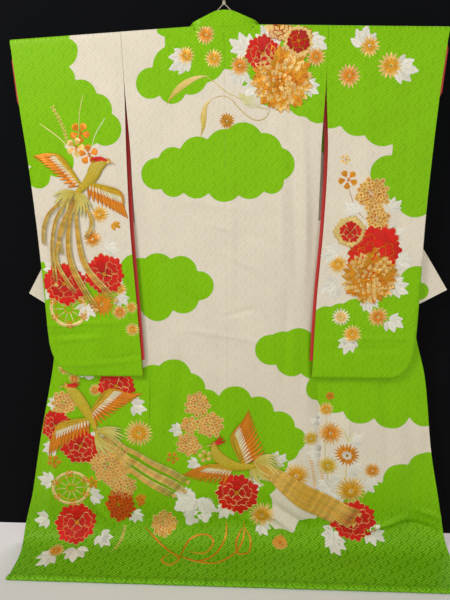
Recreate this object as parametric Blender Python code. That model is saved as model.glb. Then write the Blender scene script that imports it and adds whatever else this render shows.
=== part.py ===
"""Uchikake wedding kimono, opened flat with its back to the front and hung on a two-armed kimono hanger.

Metres, +Z up.  The origin is the top of the hanger's cord loop, X runs to the right along the shoulders
and +Y runs back toward the wall.  Heights called h are measured from the crown of the shoulder line.
"""

from math import cos, pi, radians, sin, tan

import bmesh
import bpy
import numpy as np
from mathutils import Vector

# Driving dimensions
SHOULDER_Z = -0.120  # crown of the shoulder line below the top of the loop
FLOOR_H = -1.711  # surface that the hem lies on
DROOP = tan(radians(2.2))  # each hanger arm falls this much toward its end
BODY_WALL = 0.0020  # satin, interlining and lining together
SLEEVE_WALL = 0.0016
LINING_WALL = 0.0010
COLLAR_WALL = 0.0026
SEAM = 0.0003  # gap that parts the sewn pieces
FOLD_R = 0.011  # the cloth's radius over the hanger arm
NECK_X = 0.095  # where the neckline meets the shoulder
NECK_H = -0.0095  # back neckline at the centre
SIDE_SLIT = 0.56  # the underarm opening ends here, below it front and back are sewn
BEND_S = 1.630  # length down the cloth where it starts to turn onto the floor
BEND_R = 0.081
HEM_S = 1.878  # length from shoulder to the start of the padded hem
ARMHOLE_S = 0.16
CUFF_TOP_S, CUFF_END_S = 0.030, 0.205  # open wrist edge of the sleeve
ARM_R = 0.0094
ARM_END = 0.600
CORD_R = 0.00125
KNOT_H = 0.057

# s is the length down the cloth from the shoulder; left and right are the distances from the centre seam
SIDE_EDGE = (  # s, left, right
    (0.00, 0.306, 0.303),
    (0.16, 0.302, 0.300),
    (0.35, 0.294, 0.291),
    (0.58, 0.294, 0.290),
    (0.82, 0.283, 0.285),
    (1.02, 0.268, 0.290),
    (1.17, 0.271, 0.305),
    (1.28, 0.279, 0.315),
    (1.47, 0.293, 0.330),
    (1.63, 0.304, 0.345),
    (1.90, 0.316, 0.356),
)
OKUMI_SEAM = (  # s, left, right
    (0.62, 0.418, 0.428),
    (0.86, 0.438, 0.465),
    (1.09, 0.460, 0.505),
    (1.33, 0.510, 0.536),
    (1.50, 0.543, 0.562),
    (1.65, 0.573, 0.583),
    (1.90, 0.600, 0.592),
)
FRONT_EDGE = (  # s, left, right
    (0.86, 0.569, 0.603),
    (0.96, 0.588, 0.623),
    (1.09, 0.613, 0.657),
    (1.34, 0.671, 0.692),
    (1.54, 0.716, 0.731),
    (1.68, 0.751, 0.756),
    (1.80, 0.727, 0.760),
    (1.90, 0.719, 0.757),
)
SLEEVE_OUTER = (  # s, left, right
    (0.00, 0.644, 0.646),
    (0.18, 0.633, 0.631),
    (0.34, 0.621, 0.622),
    (0.56, 0.610, 0.614),
    (0.82, 0.604, 0.612),
    (0.95, 0.602, 0.610),
    (1.00, 0.597, 0.606),
    (1.04, 0.582, 0.594),
    (1.07, 0.556, 0.574),
    (1.085, 0.522, 0.545),
)
SLEEVE_INNER = (  # s, left, right
    (0.00, 0.3065, 0.3035),
    (0.16, 0.3035, 0.3015),
    (0.35, 0.307, 0.311),
    (0.58, 0.307, 0.305),
    (0.82, 0.298, 0.290),
    (1.085, 0.289, 0.281),
)
SLEEVE_DEPTH = (  # s, back layer's Y, front layer's Y
    (0.00, -0.0110, 0.0110),
    (0.10, -0.0112, 0.0095),
    (0.30, -0.0122, 0.0035),
    (0.60, -0.0122, -0.0005),
    (0.90, -0.0112, -0.0025),
    (1.085, -0.0095, -0.0035),
)
COLLAR_NECK = (  # seam x, y, h, then free edge x, y, h, from the centre back to the front of the neck
    (0.000, -0.0110, -0.0090, 0.000, -0.0130, 0.0380),
    (0.025, -0.0110, -0.0088, 0.024, -0.0130, 0.0375),
    (0.050, -0.0110, -0.0075, 0.047, -0.0125, 0.0330),
    (0.070, -0.0100, -0.0045, 0.066, -0.0110, 0.0250),
    (0.084, -0.0060, 0.0008, 0.080, -0.0060, 0.0160),
    (0.0905, 0.0010, 0.0022, 0.092, 0.0010, 0.0100),
    (0.0915, 0.0110, -0.0010, 0.101, 0.0120, 0.0040),
    (0.0940, 0.0190, -0.0120, 0.1130, 0.0205, -0.0060),
)
# x, h of three control points: the collar's seam and its free edge on the opened front
COLLAR_SEAM = {
    -1: ((0.100, -0.022), (0.310, -0.425), (0.569, -0.862)),
    1: ((0.100, -0.022), (0.330, -0.400), (0.603, -0.845)),
}
COLLAR_FREE = {
    -1: ((0.122, -0.016), (0.350, -0.255), (0.668, -0.794)),
    1: ((0.122, -0.016), (0.375, -0.235), (0.707, -0.784)),
}
SIDES = {-1: "left", 1: "right"}
# lengths below the shoulder at which the body's sections are taken
UPPER_ROWS = (0.10, 0.20, 0.32, 0.44, 0.56)
LOWER_ROWS = (0.62, 0.66, 0.72, 0.79, 0.86, 1.00, 1.12, 1.24, 1.36, 1.48, 1.57)
FLOOR_ROWS = (1.63, 1.66, 1.69, 1.72, 1.757, 1.81, 1.878)
BODY_ROWS = UPPER_ROWS + LOWER_ROWS + FLOOR_ROWS
SLEEVE_ROWS = (0.03, 0.10, 0.205, 0.33, 0.48, 0.64, 0.80, 0.94, 1.00, 1.04, 1.07, 1.085)
LINING_ROWS = (0.045, 0.10, 0.16, 0.205, 0.23, 0.33, 0.48, 0.64, 0.80, 0.94, 1.03)
HEM_PROFILE = (  # y, z round the padded roll from its flat sole
    (0.0, 0.0),
    (-0.020, 0.0),
    (-0.0245, 0.0022),
    (-0.026, 0.0065),
    (-0.0235, 0.0110),
    (-0.017, 0.0138),
    (-0.009, 0.0132),
    (-0.003, 0.0085),
    (0.0, 0.0030),
)


def clear_scene():
    for item in list(bpy.data.objects):
        bpy.data.objects.remove(item, do_unlink=True)


def finish(name, colour, roughness, metallic=0.0):
    mat = bpy.data.materials.new(name)
    mat.use_nodes = True
    shader = mat.node_tree.nodes["Principled BSDF"]
    shader.inputs["Base Color"].default_value = (*colour, 1.0)
    shader.inputs["Roughness"].default_value = roughness
    shader.inputs["Metallic"].default_value = metallic
    return mat


def at(table, side, s):
    """The table's left or right column at s, on a smooth line through its rows."""
    rows = [(row[0], row[1] if side < 0 else row[2]) for row in table]
    keys = [row[0] for row in rows]
    s = min(max(s, keys[0]), keys[-1])
    i = min(int(np.searchsorted(keys, s, side="right")), len(keys) - 1)
    (x0, y0), (x1, y1) = rows[i - 1], rows[i]
    before = rows[i - 2] if i > 1 else rows[0]
    after = rows[i + 1] if i + 1 < len(rows) else rows[-1]
    m0 = (y1 - before[1]) / max(x1 - before[0], 1e-9)
    m1 = (after[1] - y0) / max(after[0] - x0, 1e-9)
    t, d = (s - x0) / (x1 - x0), x1 - x0
    return (
        (2 * t**3 - 3 * t**2 + 1) * y0
        + (t**3 - 2 * t**2 + t) * d * m0
        + (3 * t**2 - 2 * t**3) * y1
        + (t**3 - t**2) * d * m1
    )


def ramp(low, high, value):
    t = min(max((value - low) / (high - low), 0.0), 1.0)
    return t * t * (3 - 2 * t)


def bezier(points, t):
    a, b, c = (np.array(p) for p in points)
    return (1 - t) ** 2 * a + 2 * t * (1 - t) * b + t * t * c


def hang(x, y, s):
    """A point of the body cloth: down from the shoulder, round the bend and out along the floor."""
    quarter = BEND_R * pi / 2
    if s <= BEND_S:
        droop = abs(x) * DROOP * (1 - ramp(0.2, 1.2, s))
        return Vector((x, y, SHOULDER_Z - s - droop))
    if s <= BEND_S + quarter:
        turn = (s - BEND_S) / BEND_R
        fade = 1 - ramp(0, pi / 2, turn)
        z = SHOULDER_Z - BEND_S - BEND_R * sin(turn) + BODY_WALL / 2
        return Vector((x, y * fade - BEND_R * (1 - cos(turn)), z))
    return Vector((x, -BEND_R - (s - BEND_S - quarter), SHOULDER_Z + FLOOR_H + BODY_WALL / 2))


def ripple(side, x, s):
    """Soft upright folds of the lower cloth, gone again where it lies on the floor."""
    depth = 0.006 * ramp(1.05, 1.45, s) * (1 - ramp(1.66, 1.74, s))
    return depth * (sin(side * x * 21 + 0.4) + 0.6 * sin(side * x * 37 + 2.1))


def back_depth(side, x, s):
    a = x / at(SIDE_EDGE, side, s)
    recess = 0.019 * ramp(0.72, 1.0, a) * ramp(0.40, 0.60, s)
    lower = ramp(1.0, 1.35, s)
    return (-0.011 + recess) * (1 - lower) - 0.002 * lower + ripple(side, x, s)


def front_depth(side, x, s):
    inner = at(SIDE_EDGE, side, s)
    edge = back_depth(side, inner, s) - ripple(side, inner, s)
    behind = 0.019 + (0.012 - 0.019) * ramp(0.45, 0.66, s)
    away = ramp(0.0, 0.05, x - inner) if s > SIDE_SLIT else 1.0
    lower = ramp(1.0, 1.35, s)
    flat = (edge + (behind - edge) * away) * (1 - lower) - 0.002 * lower
    return flat + ripple(side, x, s)


def fold_x(side, s):
    """Where the opened front turns back on itself, from the neck down to the side seam."""
    return NECK_X + (at(SIDE_EDGE, side, SIDE_SLIT) - 0.006 - NECK_X) * s / SIDE_SLIT


def over_arm(x, angle, radius=FOLD_R):
    """A point round the hanger arm: angle 0 is the back, pi the front."""
    return Vector((x, -radius * cos(angle), SHOULDER_Z - FOLD_R - abs(x) * DROOP + radius * sin(angle)))


def grid_faces(rows):
    faces = []
    for upper, lower in zip(rows, rows[1:]):
        for i in range(len(upper) - 1):
            faces.append((upper[i], upper[i + 1], lower[i + 1], lower[i]))
    return faces


def mesh_object(name, points, faces, mat):
    mesh = bpy.data.meshes.new(name)
    mesh.from_pydata(points, [], faces)
    bm = bmesh.new()
    bm.from_mesh(mesh)
    bmesh.ops.remove_doubles(bm, verts=bm.verts, dist=1e-6)
    bmesh.ops.recalc_face_normals(bm, faces=bm.faces)
    if bm.calc_volume(signed=True) < 0:
        bmesh.ops.reverse_faces(bm, faces=bm.faces)
    bm.to_mesh(mesh)
    bm.free()
    mesh.materials.append(mat)
    item = bpy.data.objects.new(name, mesh)
    bpy.context.scene.collection.objects.link(item)
    return item


def wall(name, quads, thickness, mat):
    """Closed wall of even thickness about a sheet given as quads of points, welded where they meet."""
    index, points, faces = {}, [], []
    for quad in quads:
        face = []
        for p in quad:
            key = tuple(round(c, 6) for c in p)
            if key not in index:
                index[key] = len(points)
                points.append(Vector(p))
            if index[key] not in face:
                face.append(index[key])
        if len(face) > 2:
            faces.append(face)
    normals = [Vector() for _ in points]
    for face in faces:
        corner = [points[i] for i in face]
        if len(face) == 4:
            normal = (corner[2] - corner[0]).cross(corner[3] - corner[1])
        else:
            normal = (corner[1] - corner[0]).cross(corner[2] - corner[0])
        for i in face:
            normals[i] += normal.normalized()
    edges = {}
    for face in faces:
        for a, b in zip(face, face[1:] + face[:1]):
            edges[(a, b)] = True
    n = len(points)
    shell = [p + m.normalized() * thickness / 2 for p, m in zip(points, normals)]
    shell += [p - m.normalized() * thickness / 2 for p, m in zip(points, normals)]
    solid = [list(face) for face in faces] + [[i + n for i in reversed(face)] for face in faces]
    for a, b in edges:
        if (b, a) not in edges:
            solid.append([b, a, a + n, b + n])
    return mesh_object(name, shell, solid, mat)


def spread(first, last, count):
    return [first + (last - first) * i / count for i in range(count + 1)]


def body_panel(side, mat):
    """One length of cloth: back hem, over the shoulder, down the opened front to the front hem."""
    quads = []
    inset = SEAM / 2

    def p(x, y, s):
        q = hang(x, y, s)
        return Vector((side * q.x, q.y, q.z))

    def arm(x, angle):
        q = over_arm(x, angle)
        return Vector((side * q.x, q.y, q.z))

    # back, with the neckline cut out of its top
    top = at(SIDE_EDGE, side, 0.0) - inset
    neck_cols = spread(inset, NECK_X, 3)
    wide_cols = spread(NECK_X, top, 4)
    fractions = [x / top for x in neck_cols + wide_cols[1:]]
    rows = []
    neckline = SHOULDER_Z + NECK_H - SEAM - 0.001
    rows.append([Vector((side * x, -FOLD_R, neckline)) for x in neck_cols[:-1]])
    rows[0] += [arm(x, 0) for x in wide_cols]
    for s in (0.04,) + BODY_ROWS:
        edge = at(SIDE_EDGE, side, s) - inset
        xs = [inset + (f - fractions[0]) / (1 - fractions[0]) * (edge - inset) for f in fractions]
        rows.append([p(x, back_depth(side, x, s), s) for x in xs])
    quads += grid_faces(rows[::-1])

    # over the shoulder and down inside to the turned-back edge
    inner_rows = [s for s in BODY_ROWS if s <= SIDE_SLIT]
    shoulder = [[arm(x, angle) for x in wide_cols] for angle in spread(0, pi, 8)]
    down = []
    for s in inner_rows:
        edge = max(at(SIDE_EDGE, side, s) - inset, fold_x(side, s) + 0.008)
        down.append([p(x, 0.011, s) for x in spread(fold_x(side, s), edge, 4)])
    quads += grid_faces(shoulder + down)

    # the turn, a half round of 4 mm radius, and the front spread outward behind the sleeve
    turn = []
    for s in inner_rows:
        centre, y = fold_x(side, s), front_depth(side, fold_x(side, s), s)
        middle, half = (y + 0.011) / 2, (y - 0.011) / 2
        turn.append([p(centre - 0.004 * sin(a), middle - half * cos(a), s) for a in spread(pi, 0, 4)])
    quads += grid_faces(turn)
    outer = []
    for s in BODY_ROWS:
        begin = fold_x(side, s) if s <= SIDE_SLIT else at(SIDE_EDGE, side, s) + inset
        end = seam_x(side, s) - inset
        outer.append([p(x, front_depth(side, x, s), s) for x in spread(end, begin, 5)])
    quads += grid_faces(outer)
    return wall("body_" + SIDES[side], quads, BODY_WALL, mat)


def seam_x(side, s):
    """Outer sewn edge of the front panel: the collar's seam above, the okumi's below."""
    if s >= OKUMI_SEAM[0][0]:
        return at(OKUMI_SEAM, side, s)
    return curve_x(COLLAR_SEAM[side], s) - 0.0016


def curve_x(points, s):
    """x of a three-point curve at the length s below the shoulder."""
    low, high = 0.0, 1.0
    for _ in range(30):
        mid = (low + high) / 2
        if -bezier(points, mid)[1] < s:
            low = mid
        else:
            high = mid
    return float(bezier(points, low)[0])


def okumi(side, mat):
    """Overlap panel: its slanted top is sewn to the collar, its front edge runs to the hem."""
    rows = []
    gap = SEAM / 2
    for s in [s for s in BODY_ROWS if s > 0.65]:
        begin = at(OKUMI_SEAM, side, s) + gap
        if s < 0.861:
            end = curve_x(COLLAR_SEAM[side], s) - 0.0022
        else:
            end = at(FRONT_EDGE, side, s)
        rows.append([])
        for x in spread(begin, end, 4):
            q = hang(x, front_depth(side, x, s), s)
            rows[-1].append(Vector((side * q.x, q.y, q.z)))
    return wall("okumi_" + SIDES[side], grid_faces(rows), BODY_WALL, mat)


def collar(mat):
    """One long band: it stands at the back of the neck and runs down both fronts to its square ends."""
    rows = []
    for side in (-1, 1):
        half = []
        for sx, sy, sh, fx, fy, fh in COLLAR_NECK:
            seam, free = Vector((side * sx, sy, SHOULDER_Z + sh)), Vector((side * fx, fy, SHOULDER_Z + fh))
            half.append([seam.lerp(free, i / 3) for i in range(4)])
        for t in spread(0.0, 1.0, 12):
            seam, free = bezier(COLLAR_SEAM[side], t), bezier(COLLAR_FREE[side], t)
            row = []
            for i in range(4):
                x, h = seam + (free - seam) * i / 3
                y = 0.0195
                if t > 0.3:
                    y = max(front_depth(side, x, max(-h, 0.03)) + (0.0006 if i else 0.0), 0.0115)
                z = SHOULDER_Z + h - x * DROOP * (1 - ramp(0.2, 1.2, -h))
                row.append(Vector((side * x, y, z)))
            half.append(row)
        rows = half[::-1] if side < 0 else rows + half[1:]
    return wall("collar", grid_faces(rows), COLLAR_WALL, mat)


def sleeve_point(side, x, s, layer):
    """layer 0 is the back of the sleeve, 1 its front."""
    y = at(SLEEVE_DEPTH, -1, s) * (1 - layer) + at(SLEEVE_DEPTH, 1, s) * layer
    droop = abs(x) * DROOP * (1 - ramp(0.2, 1.0, s))
    return Vector((side * x, y, SHOULDER_Z - s - droop))


def sleeve(side, mat):
    """A length folded over the arm, sewn along its bottom and up its outer edge to the wrist opening."""
    levels = SLEEVE_ROWS
    inner = lambda s: at(SLEEVE_INNER, side, s) + SEAM / 2
    outer = lambda s: at(SLEEVE_OUTER, side, s)
    top = spread(inner(0.0), outer(0.0), 6)
    arch = []
    for angle in spread(0, pi, 8):
        arch.append([Vector((side * x, over_arm(x, angle).y, over_arm(x, angle).z)) for x in top])
    back = [[sleeve_point(side, x, s, 0) for x in spread(inner(s), outer(s), 6)] for s in levels]
    front = [[sleeve_point(side, x, s, 1) for x in spread(inner(s), outer(s), 6)] for s in levels]
    quads = grid_faces(back[::-1] + arch + front)
    # bottom seam and outer seam, each a small half round
    under = [b.lerp(f, 0.5) + Vector((0, 0, -0.0032)) for b, f in zip(back[-1], front[-1])]
    quads += grid_faces([back[-1], under, front[-1]][::-1])
    sewn = [i for i, s in enumerate(levels) if s >= CUFF_END_S]
    edge = []
    for i in sewn:
        low = ramp(0.95, 1.085, levels[i])
        middle = back[i][-1].lerp(front[i][-1], 0.5) + Vector((side * 0.003 * (1 - low), 0, -0.0032 * low))
        if i == sewn[-1]:
            middle = under[-1]
        edge.append([back[i][-1], middle, front[i][-1]])
    quads += grid_faces(edge[::-1])
    return wall("sleeve_" + SIDES[side], quads, SLEEVE_WALL, mat)


def sleeve_lining(side, mat):
    """Red lining against the sleeve's front layer, seen past the wrist opening and down the inner edge."""
    rows = []
    offset = SLEEVE_WALL / 2 + SEAM + LINING_WALL / 2
    for s in LINING_ROWS:
        cuff = 0.012 * ramp(0.02, 0.06, s) * (1 - ramp(0.17, 0.22, s))
        show = 0.010 * ramp(0.17, 0.24, s)
        begin = at(SLEEVE_INNER, side, s) + 0.0005 - show
        end = at(SLEEVE_OUTER, side, s) - 0.006 * ramp(0.17, 0.22, s) + cuff
        if s > 0.93:
            end -= 0.03
        row = []
        for x in spread(begin, end, 5):
            q = sleeve_point(side, x, s, 1)
            row.append(Vector((q.x, q.y - offset, q.z)))
        rows.append(row)
    return wall("sleeve_lining_" + SIDES[side], grid_faces(rows), LINING_WALL, mat)


def hem_roll(mat):
    """Padded roll along the whole hem, flat where it lies on the floor."""
    start_y = -BEND_R - (HEM_S - BEND_S - BEND_R * pi / 2) - SEAM
    floor = SHOULDER_Z + FLOOR_H
    left, right = -at(FRONT_EDGE, -1, HEM_S), at(FRONT_EDGE, 1, HEM_S)
    points = []
    xs = spread(left, right, 30)
    for x in xs:
        for y, z in HEM_PROFILE:
            points.append((x, start_y + y, floor + z))
    k = len(HEM_PROFILE)
    faces = [list(range(k)), list(range(len(points) - k, len(points)))[::-1]]
    for i in range(len(xs) - 1):
        for j in range(k):
            faces.append([i * k + j, (i + 1) * k + j, (i + 1) * k + (j + 1) % k, i * k + (j + 1) % k])
    return mesh_object("hem_roll", points, faces, mat)


def rod(name, start, end, radius, mat, sides=20):
    start, end = Vector(start), Vector(end)
    axis = (end - start).normalized()
    across = axis.orthogonal().normalized()
    other = axis.cross(across)
    points, faces = [], []
    for centre in (start, end):
        for i in range(sides):
            a = 2 * pi * i / sides
            points.append(centre + radius * (cos(a) * across + sin(a) * other))
    faces = [list(range(sides)), list(range(sides, 2 * sides))]
    for i in range(sides):
        j = (i + 1) % sides
        faces.append([i, j, j + sides, i + sides])
    return mesh_object(name, points, faces, mat)


def hanger(wood, brass):
    """Two arms that fall a little to their ends, joined in the middle by a thinner metal tube."""
    def centre(x):
        return (x, 0.0, SHOULDER_Z - FOLD_R - abs(x) * DROOP)

    for side, word in SIDES.items():
        rod("hanger_arm_" + word, centre(side * 0.022), centre(side * ARM_END), ARM_R, wood)
    rod("hanger_joint", (-0.0213, 0, SHOULDER_Z - FOLD_R), (0.0213, 0, SHOULDER_Z - FOLD_R), 0.0075, brass)


def cord(name, route, mat):
    curve = bpy.data.curves.new(name, "CURVE")
    curve.dimensions = "3D"
    curve.bevel_depth = CORD_R
    curve.bevel_resolution = 2
    curve.use_fill_caps = True
    line = curve.splines.new("POLY")
    line.points.add(len(route) - 1)
    for point, place in zip(line.points, route):
        point.co = (*place, 1.0)
    curve.materials.append(mat)
    item = bpy.data.objects.new(name, curve)
    bpy.context.scene.collection.objects.link(item)
    return item


def hanging_cord(mat):
    """A thin cord tied round both arms, knotted above the collar, its loop going up to the hook."""
    tie_x = 0.060
    arm_z = SHOULDER_Z - FOLD_R - tie_x * DROOP
    knot = Vector((0, 0, SHOULDER_Z + KNOT_H))
    for side, word in SIDES.items():
        low = Vector((side * tie_x, 0, arm_z + ARM_R + SEAM + CORD_R))
        way = (knot - low).normalized()
        high = knot - way * (0.0055 + SEAM)
        cord("hanger_cord_" + word, [low.lerp(high, i / 14) for i in range(15)], mat)
    bm_points, faces = [], []
    rows, around = 8, 12
    for i in range(rows + 1):
        a = pi * i / rows
        for j in range(around):
            b = 2 * pi * j / around
            way = Vector((0.0052 * sin(a) * cos(b), 0.0038 * sin(a) * sin(b), 0.0052 * cos(a)))
            bm_points.append(knot + way)
    for i in range(rows):
        for j in range(around):
            k = (j + 1) % around
            faces.append([i * around + j, i * around + k, (i + 1) * around + k, (i + 1) * around + j])
    mesh_object("cord_knot", bm_points, faces, mat)
    top, foot = -CORD_R, knot.z + 0.0060
    route = []
    for i in range(33):
        a = 2 * pi * i / 32
        height = (1 - cos(a)) / 2
        width = 0.0022 + 0.0085 * sin(pi * height) ** 0.8 * (0.35 + 0.65 * height)
        width *= (1 if i <= 16 else -1) * min(1.0, abs(i - 16) / 3.0)
        route.append(Vector((width, 0, foot + (top - foot) * height)))
    cord("hanger_loop", route, mat)


clear_scene()
satin = finish("green_satin", (0.20, 0.50, 0.01), 0.45)
white_satin = finish("white_satin", (0.75, 0.66, 0.50), 0.45)
lining = finish("red_lining", (0.55, 0.02, 0.01), 0.6)
wood = finish("lacquered_wood", (0.09, 0.045, 0.02), 0.35)
metal = finish("joint_metal", (0.5, 0.5, 0.5), 0.35, 1.0)
thread = finish("cotton_cord", (0.7, 0.66, 0.55), 0.8)
for side in SIDES:
    body_panel(side, white_satin)
    okumi(side, satin)
    sleeve(side, satin)
    sleeve_lining(side, lining)
collar(satin)
hem_roll(satin)
hanger(wood, metal)
hanging_cord(thread)
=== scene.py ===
"""Looks of the uchikake wedding kimono on its hanger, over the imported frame.

Metres.  x runs along the shoulders, s is the length down the cloth from the shoulder line.
"""

import math

import bmesh
import bpy
import numpy as np
from mathutils import Matrix, Vector


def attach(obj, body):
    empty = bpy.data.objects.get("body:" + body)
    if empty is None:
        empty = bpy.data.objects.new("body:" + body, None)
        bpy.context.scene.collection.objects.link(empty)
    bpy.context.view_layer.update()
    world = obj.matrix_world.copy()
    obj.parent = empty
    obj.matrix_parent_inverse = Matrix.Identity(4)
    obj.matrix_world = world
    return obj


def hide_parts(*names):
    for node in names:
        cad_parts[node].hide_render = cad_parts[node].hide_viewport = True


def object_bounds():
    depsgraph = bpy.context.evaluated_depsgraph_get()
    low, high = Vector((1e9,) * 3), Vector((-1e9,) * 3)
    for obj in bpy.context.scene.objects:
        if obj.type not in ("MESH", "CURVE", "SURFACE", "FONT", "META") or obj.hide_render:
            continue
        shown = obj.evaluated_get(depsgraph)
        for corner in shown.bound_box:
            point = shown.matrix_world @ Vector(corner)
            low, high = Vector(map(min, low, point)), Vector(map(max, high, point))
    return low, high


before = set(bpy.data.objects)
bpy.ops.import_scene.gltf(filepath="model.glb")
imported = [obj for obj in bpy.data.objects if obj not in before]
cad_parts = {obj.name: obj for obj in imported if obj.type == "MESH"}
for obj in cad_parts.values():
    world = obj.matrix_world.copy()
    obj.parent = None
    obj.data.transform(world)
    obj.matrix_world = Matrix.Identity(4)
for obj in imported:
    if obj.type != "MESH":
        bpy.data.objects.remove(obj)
cad_low, cad_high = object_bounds()

# ---- Floor, backdrop, light and camera ---------------------------------------------------------------
# A pale floor at the hem's sole, a plain black cloth behind it and four broad soft lamps.
# The camera stands 1.5 m in front of the back of the garment and looks 11 degrees down.
SHOULDER_Z = -0.120
FLOOR_Z = cad_low[2]


def rgb(code):
    """A sRGB hex colour as linear red, green and blue."""
    parts = [int(code[i : i + 2], 16) / 255 for i in (0, 2, 4)]
    return tuple(c / 12.92 if c <= 0.04045 else ((c + 0.055) / 1.055) ** 2.4 for c in parts)


def node(tree, kind, settings=None, inputs=None):
    """Adds a node, sets its properties, then sets or links its inputs; a node given is its first output."""
    made = tree.nodes.new(kind)
    for key, value in (settings or {}).items():
        setattr(made, key, value)
    for key, value in (inputs or {}).items():
        if isinstance(value, bpy.types.Node):
            value = value.outputs[0]
        if isinstance(value, bpy.types.NodeSocket):
            tree.links.new(value, made.inputs[key])
        else:
            made.inputs[key].default_value = value
    return made


def material(name, colour, roughness, **more):
    """A new material and its Principled shader."""
    mat = bpy.data.materials.new(name)
    mat.use_nodes = True
    tree = mat.node_tree
    shader = tree.nodes["Principled BSDF"]
    shader.inputs["Base Color"].default_value = (*colour, 1)
    shader.inputs["Roughness"].default_value = roughness
    for key, value in more.items():
        shader.inputs[key.replace("_", " ").title()].default_value = value
    return mat, tree, shader


def solid(name, points, faces, *mats, smooth=True):
    """A new mesh object in the scene, with its materials."""
    mesh = bpy.data.meshes.new(name)
    mesh.from_pydata(points, [], faces)
    for mat in mats:
        mesh.materials.append(mat)
    mesh.polygons.foreach_set("use_smooth", np.full(len(faces), smooth))
    item = bpy.data.objects.new(name, mesh)
    bpy.context.scene.collection.objects.link(item)
    return item


def plane(name, corners, mat):
    item = solid(name, corners, [(0, 1, 2, 3)], mat, smooth=False)
    return item


# matt paper: even and pale, with no gloss; brushed black cotton behind it gives almost nothing back
floor_mat = material("pale_floor_paper", rgb("E4DFDC"), 0.75)[0]
plane("floor", [(-4, -4, FLOOR_Z), (4, -4, FLOOR_Z), (4, 2.5, FLOOR_Z), (-4, 2.5, FLOOR_Z)], floor_mat)
black_mat, black_tree, black_shader = material("black_backdrop_cloth", rgb("08090C"), 0.95)
black_shader.inputs["Specular IOR Level"].default_value = 0.1
# seen from its rear the backdrop is clear, so the garment's other side shows
facing = node(black_tree, "ShaderNodeNewGeometry").outputs["Backfacing"]
clear = node(black_tree, "ShaderNodeBsdfTransparent").outputs[0]
one_sided = node(black_tree, "ShaderNodeMixShader", None,
                 {"Fac": facing, 1: black_shader.outputs[0], 2: clear})
black_tree.links.new(one_sided.outputs[0], black_tree.nodes["Material Output"].inputs["Surface"])
BACKDROP_Y = cad_high[1] + 0.035
backdrop = plane(
    "backdrop",
    [(-2, BACKDROP_Y, FLOOR_Z), (2, BACKDROP_Y, FLOOR_Z), (2, BACKDROP_Y, 0.9), (-2, BACKDROP_Y, 0.9)],
    black_mat,
)
backdrop.visible_shadow = backdrop.visible_diffuse = backdrop.visible_glossy = False


def lamp(name, place, aim, size, power, colour="FFFFFF"):
    data = bpy.data.lights.new(name, "AREA")
    data.shape = "RECTANGLE"
    data.size, data.size_y = size
    data.energy = power
    data.color = rgb(colour)
    item = bpy.data.objects.new(name, data)
    item.location = place
    item.rotation_euler = (Vector(aim) - Vector(place)).to_track_quat("-Z", "Y").to_euler()
    bpy.context.scene.collection.objects.link(item)


lamp("key", (-2.0, -1.9, 1.5), (0.1, 0, -0.7), (1.0, 1.0), 66)
lamp("fill", (2.4, -2.6, 0.4), (0, 0, -1.0), (2.0, 2.4), 22)
lamp("front", (0.2, -3.6, -0.4), (0, 0, -1.0), (2.6, 2.0), 26)
lamp("rear", (0.6, 3.0, 0.6), (0, 0, -0.9), (2.4, 2.0), 60)
world = bpy.data.worlds.new("studio")
world.use_nodes = True
world.node_tree.nodes["Background"].inputs["Color"].default_value = (*rgb("FFFFFF"), 1)
world.node_tree.nodes["Background"].inputs["Strength"].default_value = 0.26
bpy.context.scene.world = world
bpy.context.scene.view_settings.view_transform = "Standard"

camera_data = bpy.data.cameras.new("camera")
SENSOR_MM, FOCAL_SHARE = 36.0, 470 / 600
camera_data.lens = SENSOR_MM * FOCAL_SHARE
camera_data.clip_start = 0.05
camera = bpy.data.objects.new("camera", camera_data)
pitch, yaw, roll = (math.radians(a) for a in (11.25, 3.06, -0.64))
camera.matrix_world = (
    Matrix.Translation((0.074, -1.510, SHOULDER_Z - 0.524))
    @ Matrix.Rotation(yaw, 4, "Z")
    @ Matrix.Rotation(math.pi / 2 - pitch, 4, "X")
    @ Matrix.Rotation(roll, 4, "Z")
)
bpy.context.scene.collection.objects.link(camera)
bpy.context.scene.camera = camera

# ---- Hanging cord ------------------------------------------------------------------------------------
# Three-ply cotton twine, 2.5 mm thick: a leg from a tie round each arm to a knot above the collar, and a
# loop from the knot up to the hook.  The weight of the kimono keeps all of it straight.
DROOP = math.tan(math.radians(2.2))
FOLD_R, ARM_R, CORD_R, KNOT_R, KNOT_H, TIE_X, SEAM = 0.011, 0.0094, 0.00125, 0.0055, 0.057, 0.060, 0.0003
PLIES, TURN_LENGTH = 3, 0.011
# cotton is matt; the noise that raises its fibres also colours them, with painted shade darkening the hollows
# between them
COTTON, cotton_tree, cotton_shader = material("twisted_cotton_cord", rgb("BDB39A"), 0.85, sheen_weight=0.3)
fibre_at = node(cotton_tree, "ShaderNodeTexCoord").outputs["Object"]
fibre = node(cotton_tree, "ShaderNodeTexNoise", None, {"Vector": fibre_at, "Scale": 1500.0, "Detail": 3.0})
fibre_tone_and_hollow_shade = node(cotton_tree, "ShaderNodeValToRGB", None, {"Fac": fibre.outputs["Fac"]})
fibre_tone_and_hollow_shade.color_ramp.elements[0].color = (*rgb("93886E"), 1)
fibre_tone_and_hollow_shade.color_ramp.elements[1].color = (*rgb("D8CFB8"), 1)
cotton_tree.links.new(fibre_tone_and_hollow_shade.outputs["Color"], cotton_shader.inputs["Base Color"])
fibre_bump = node(cotton_tree, "ShaderNodeBump", None,
                  {"Strength": 0.4, "Distance": 0.0003, "Height": fibre.outputs["Fac"]})
cotton_tree.links.new(fibre_bump.outputs["Normal"], cotton_shader.inputs["Normal"])


def quads_of(index, closed=False):
    """Faces of a grid of point numbers; closed joins the last column to the first."""
    if closed:
        index = np.hstack([index, index[:, :1]])
    return np.stack([index[:-1, :-1], index[:-1, 1:], index[1:, 1:], index[1:, :-1]], -1).reshape(-1, 4)


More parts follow.
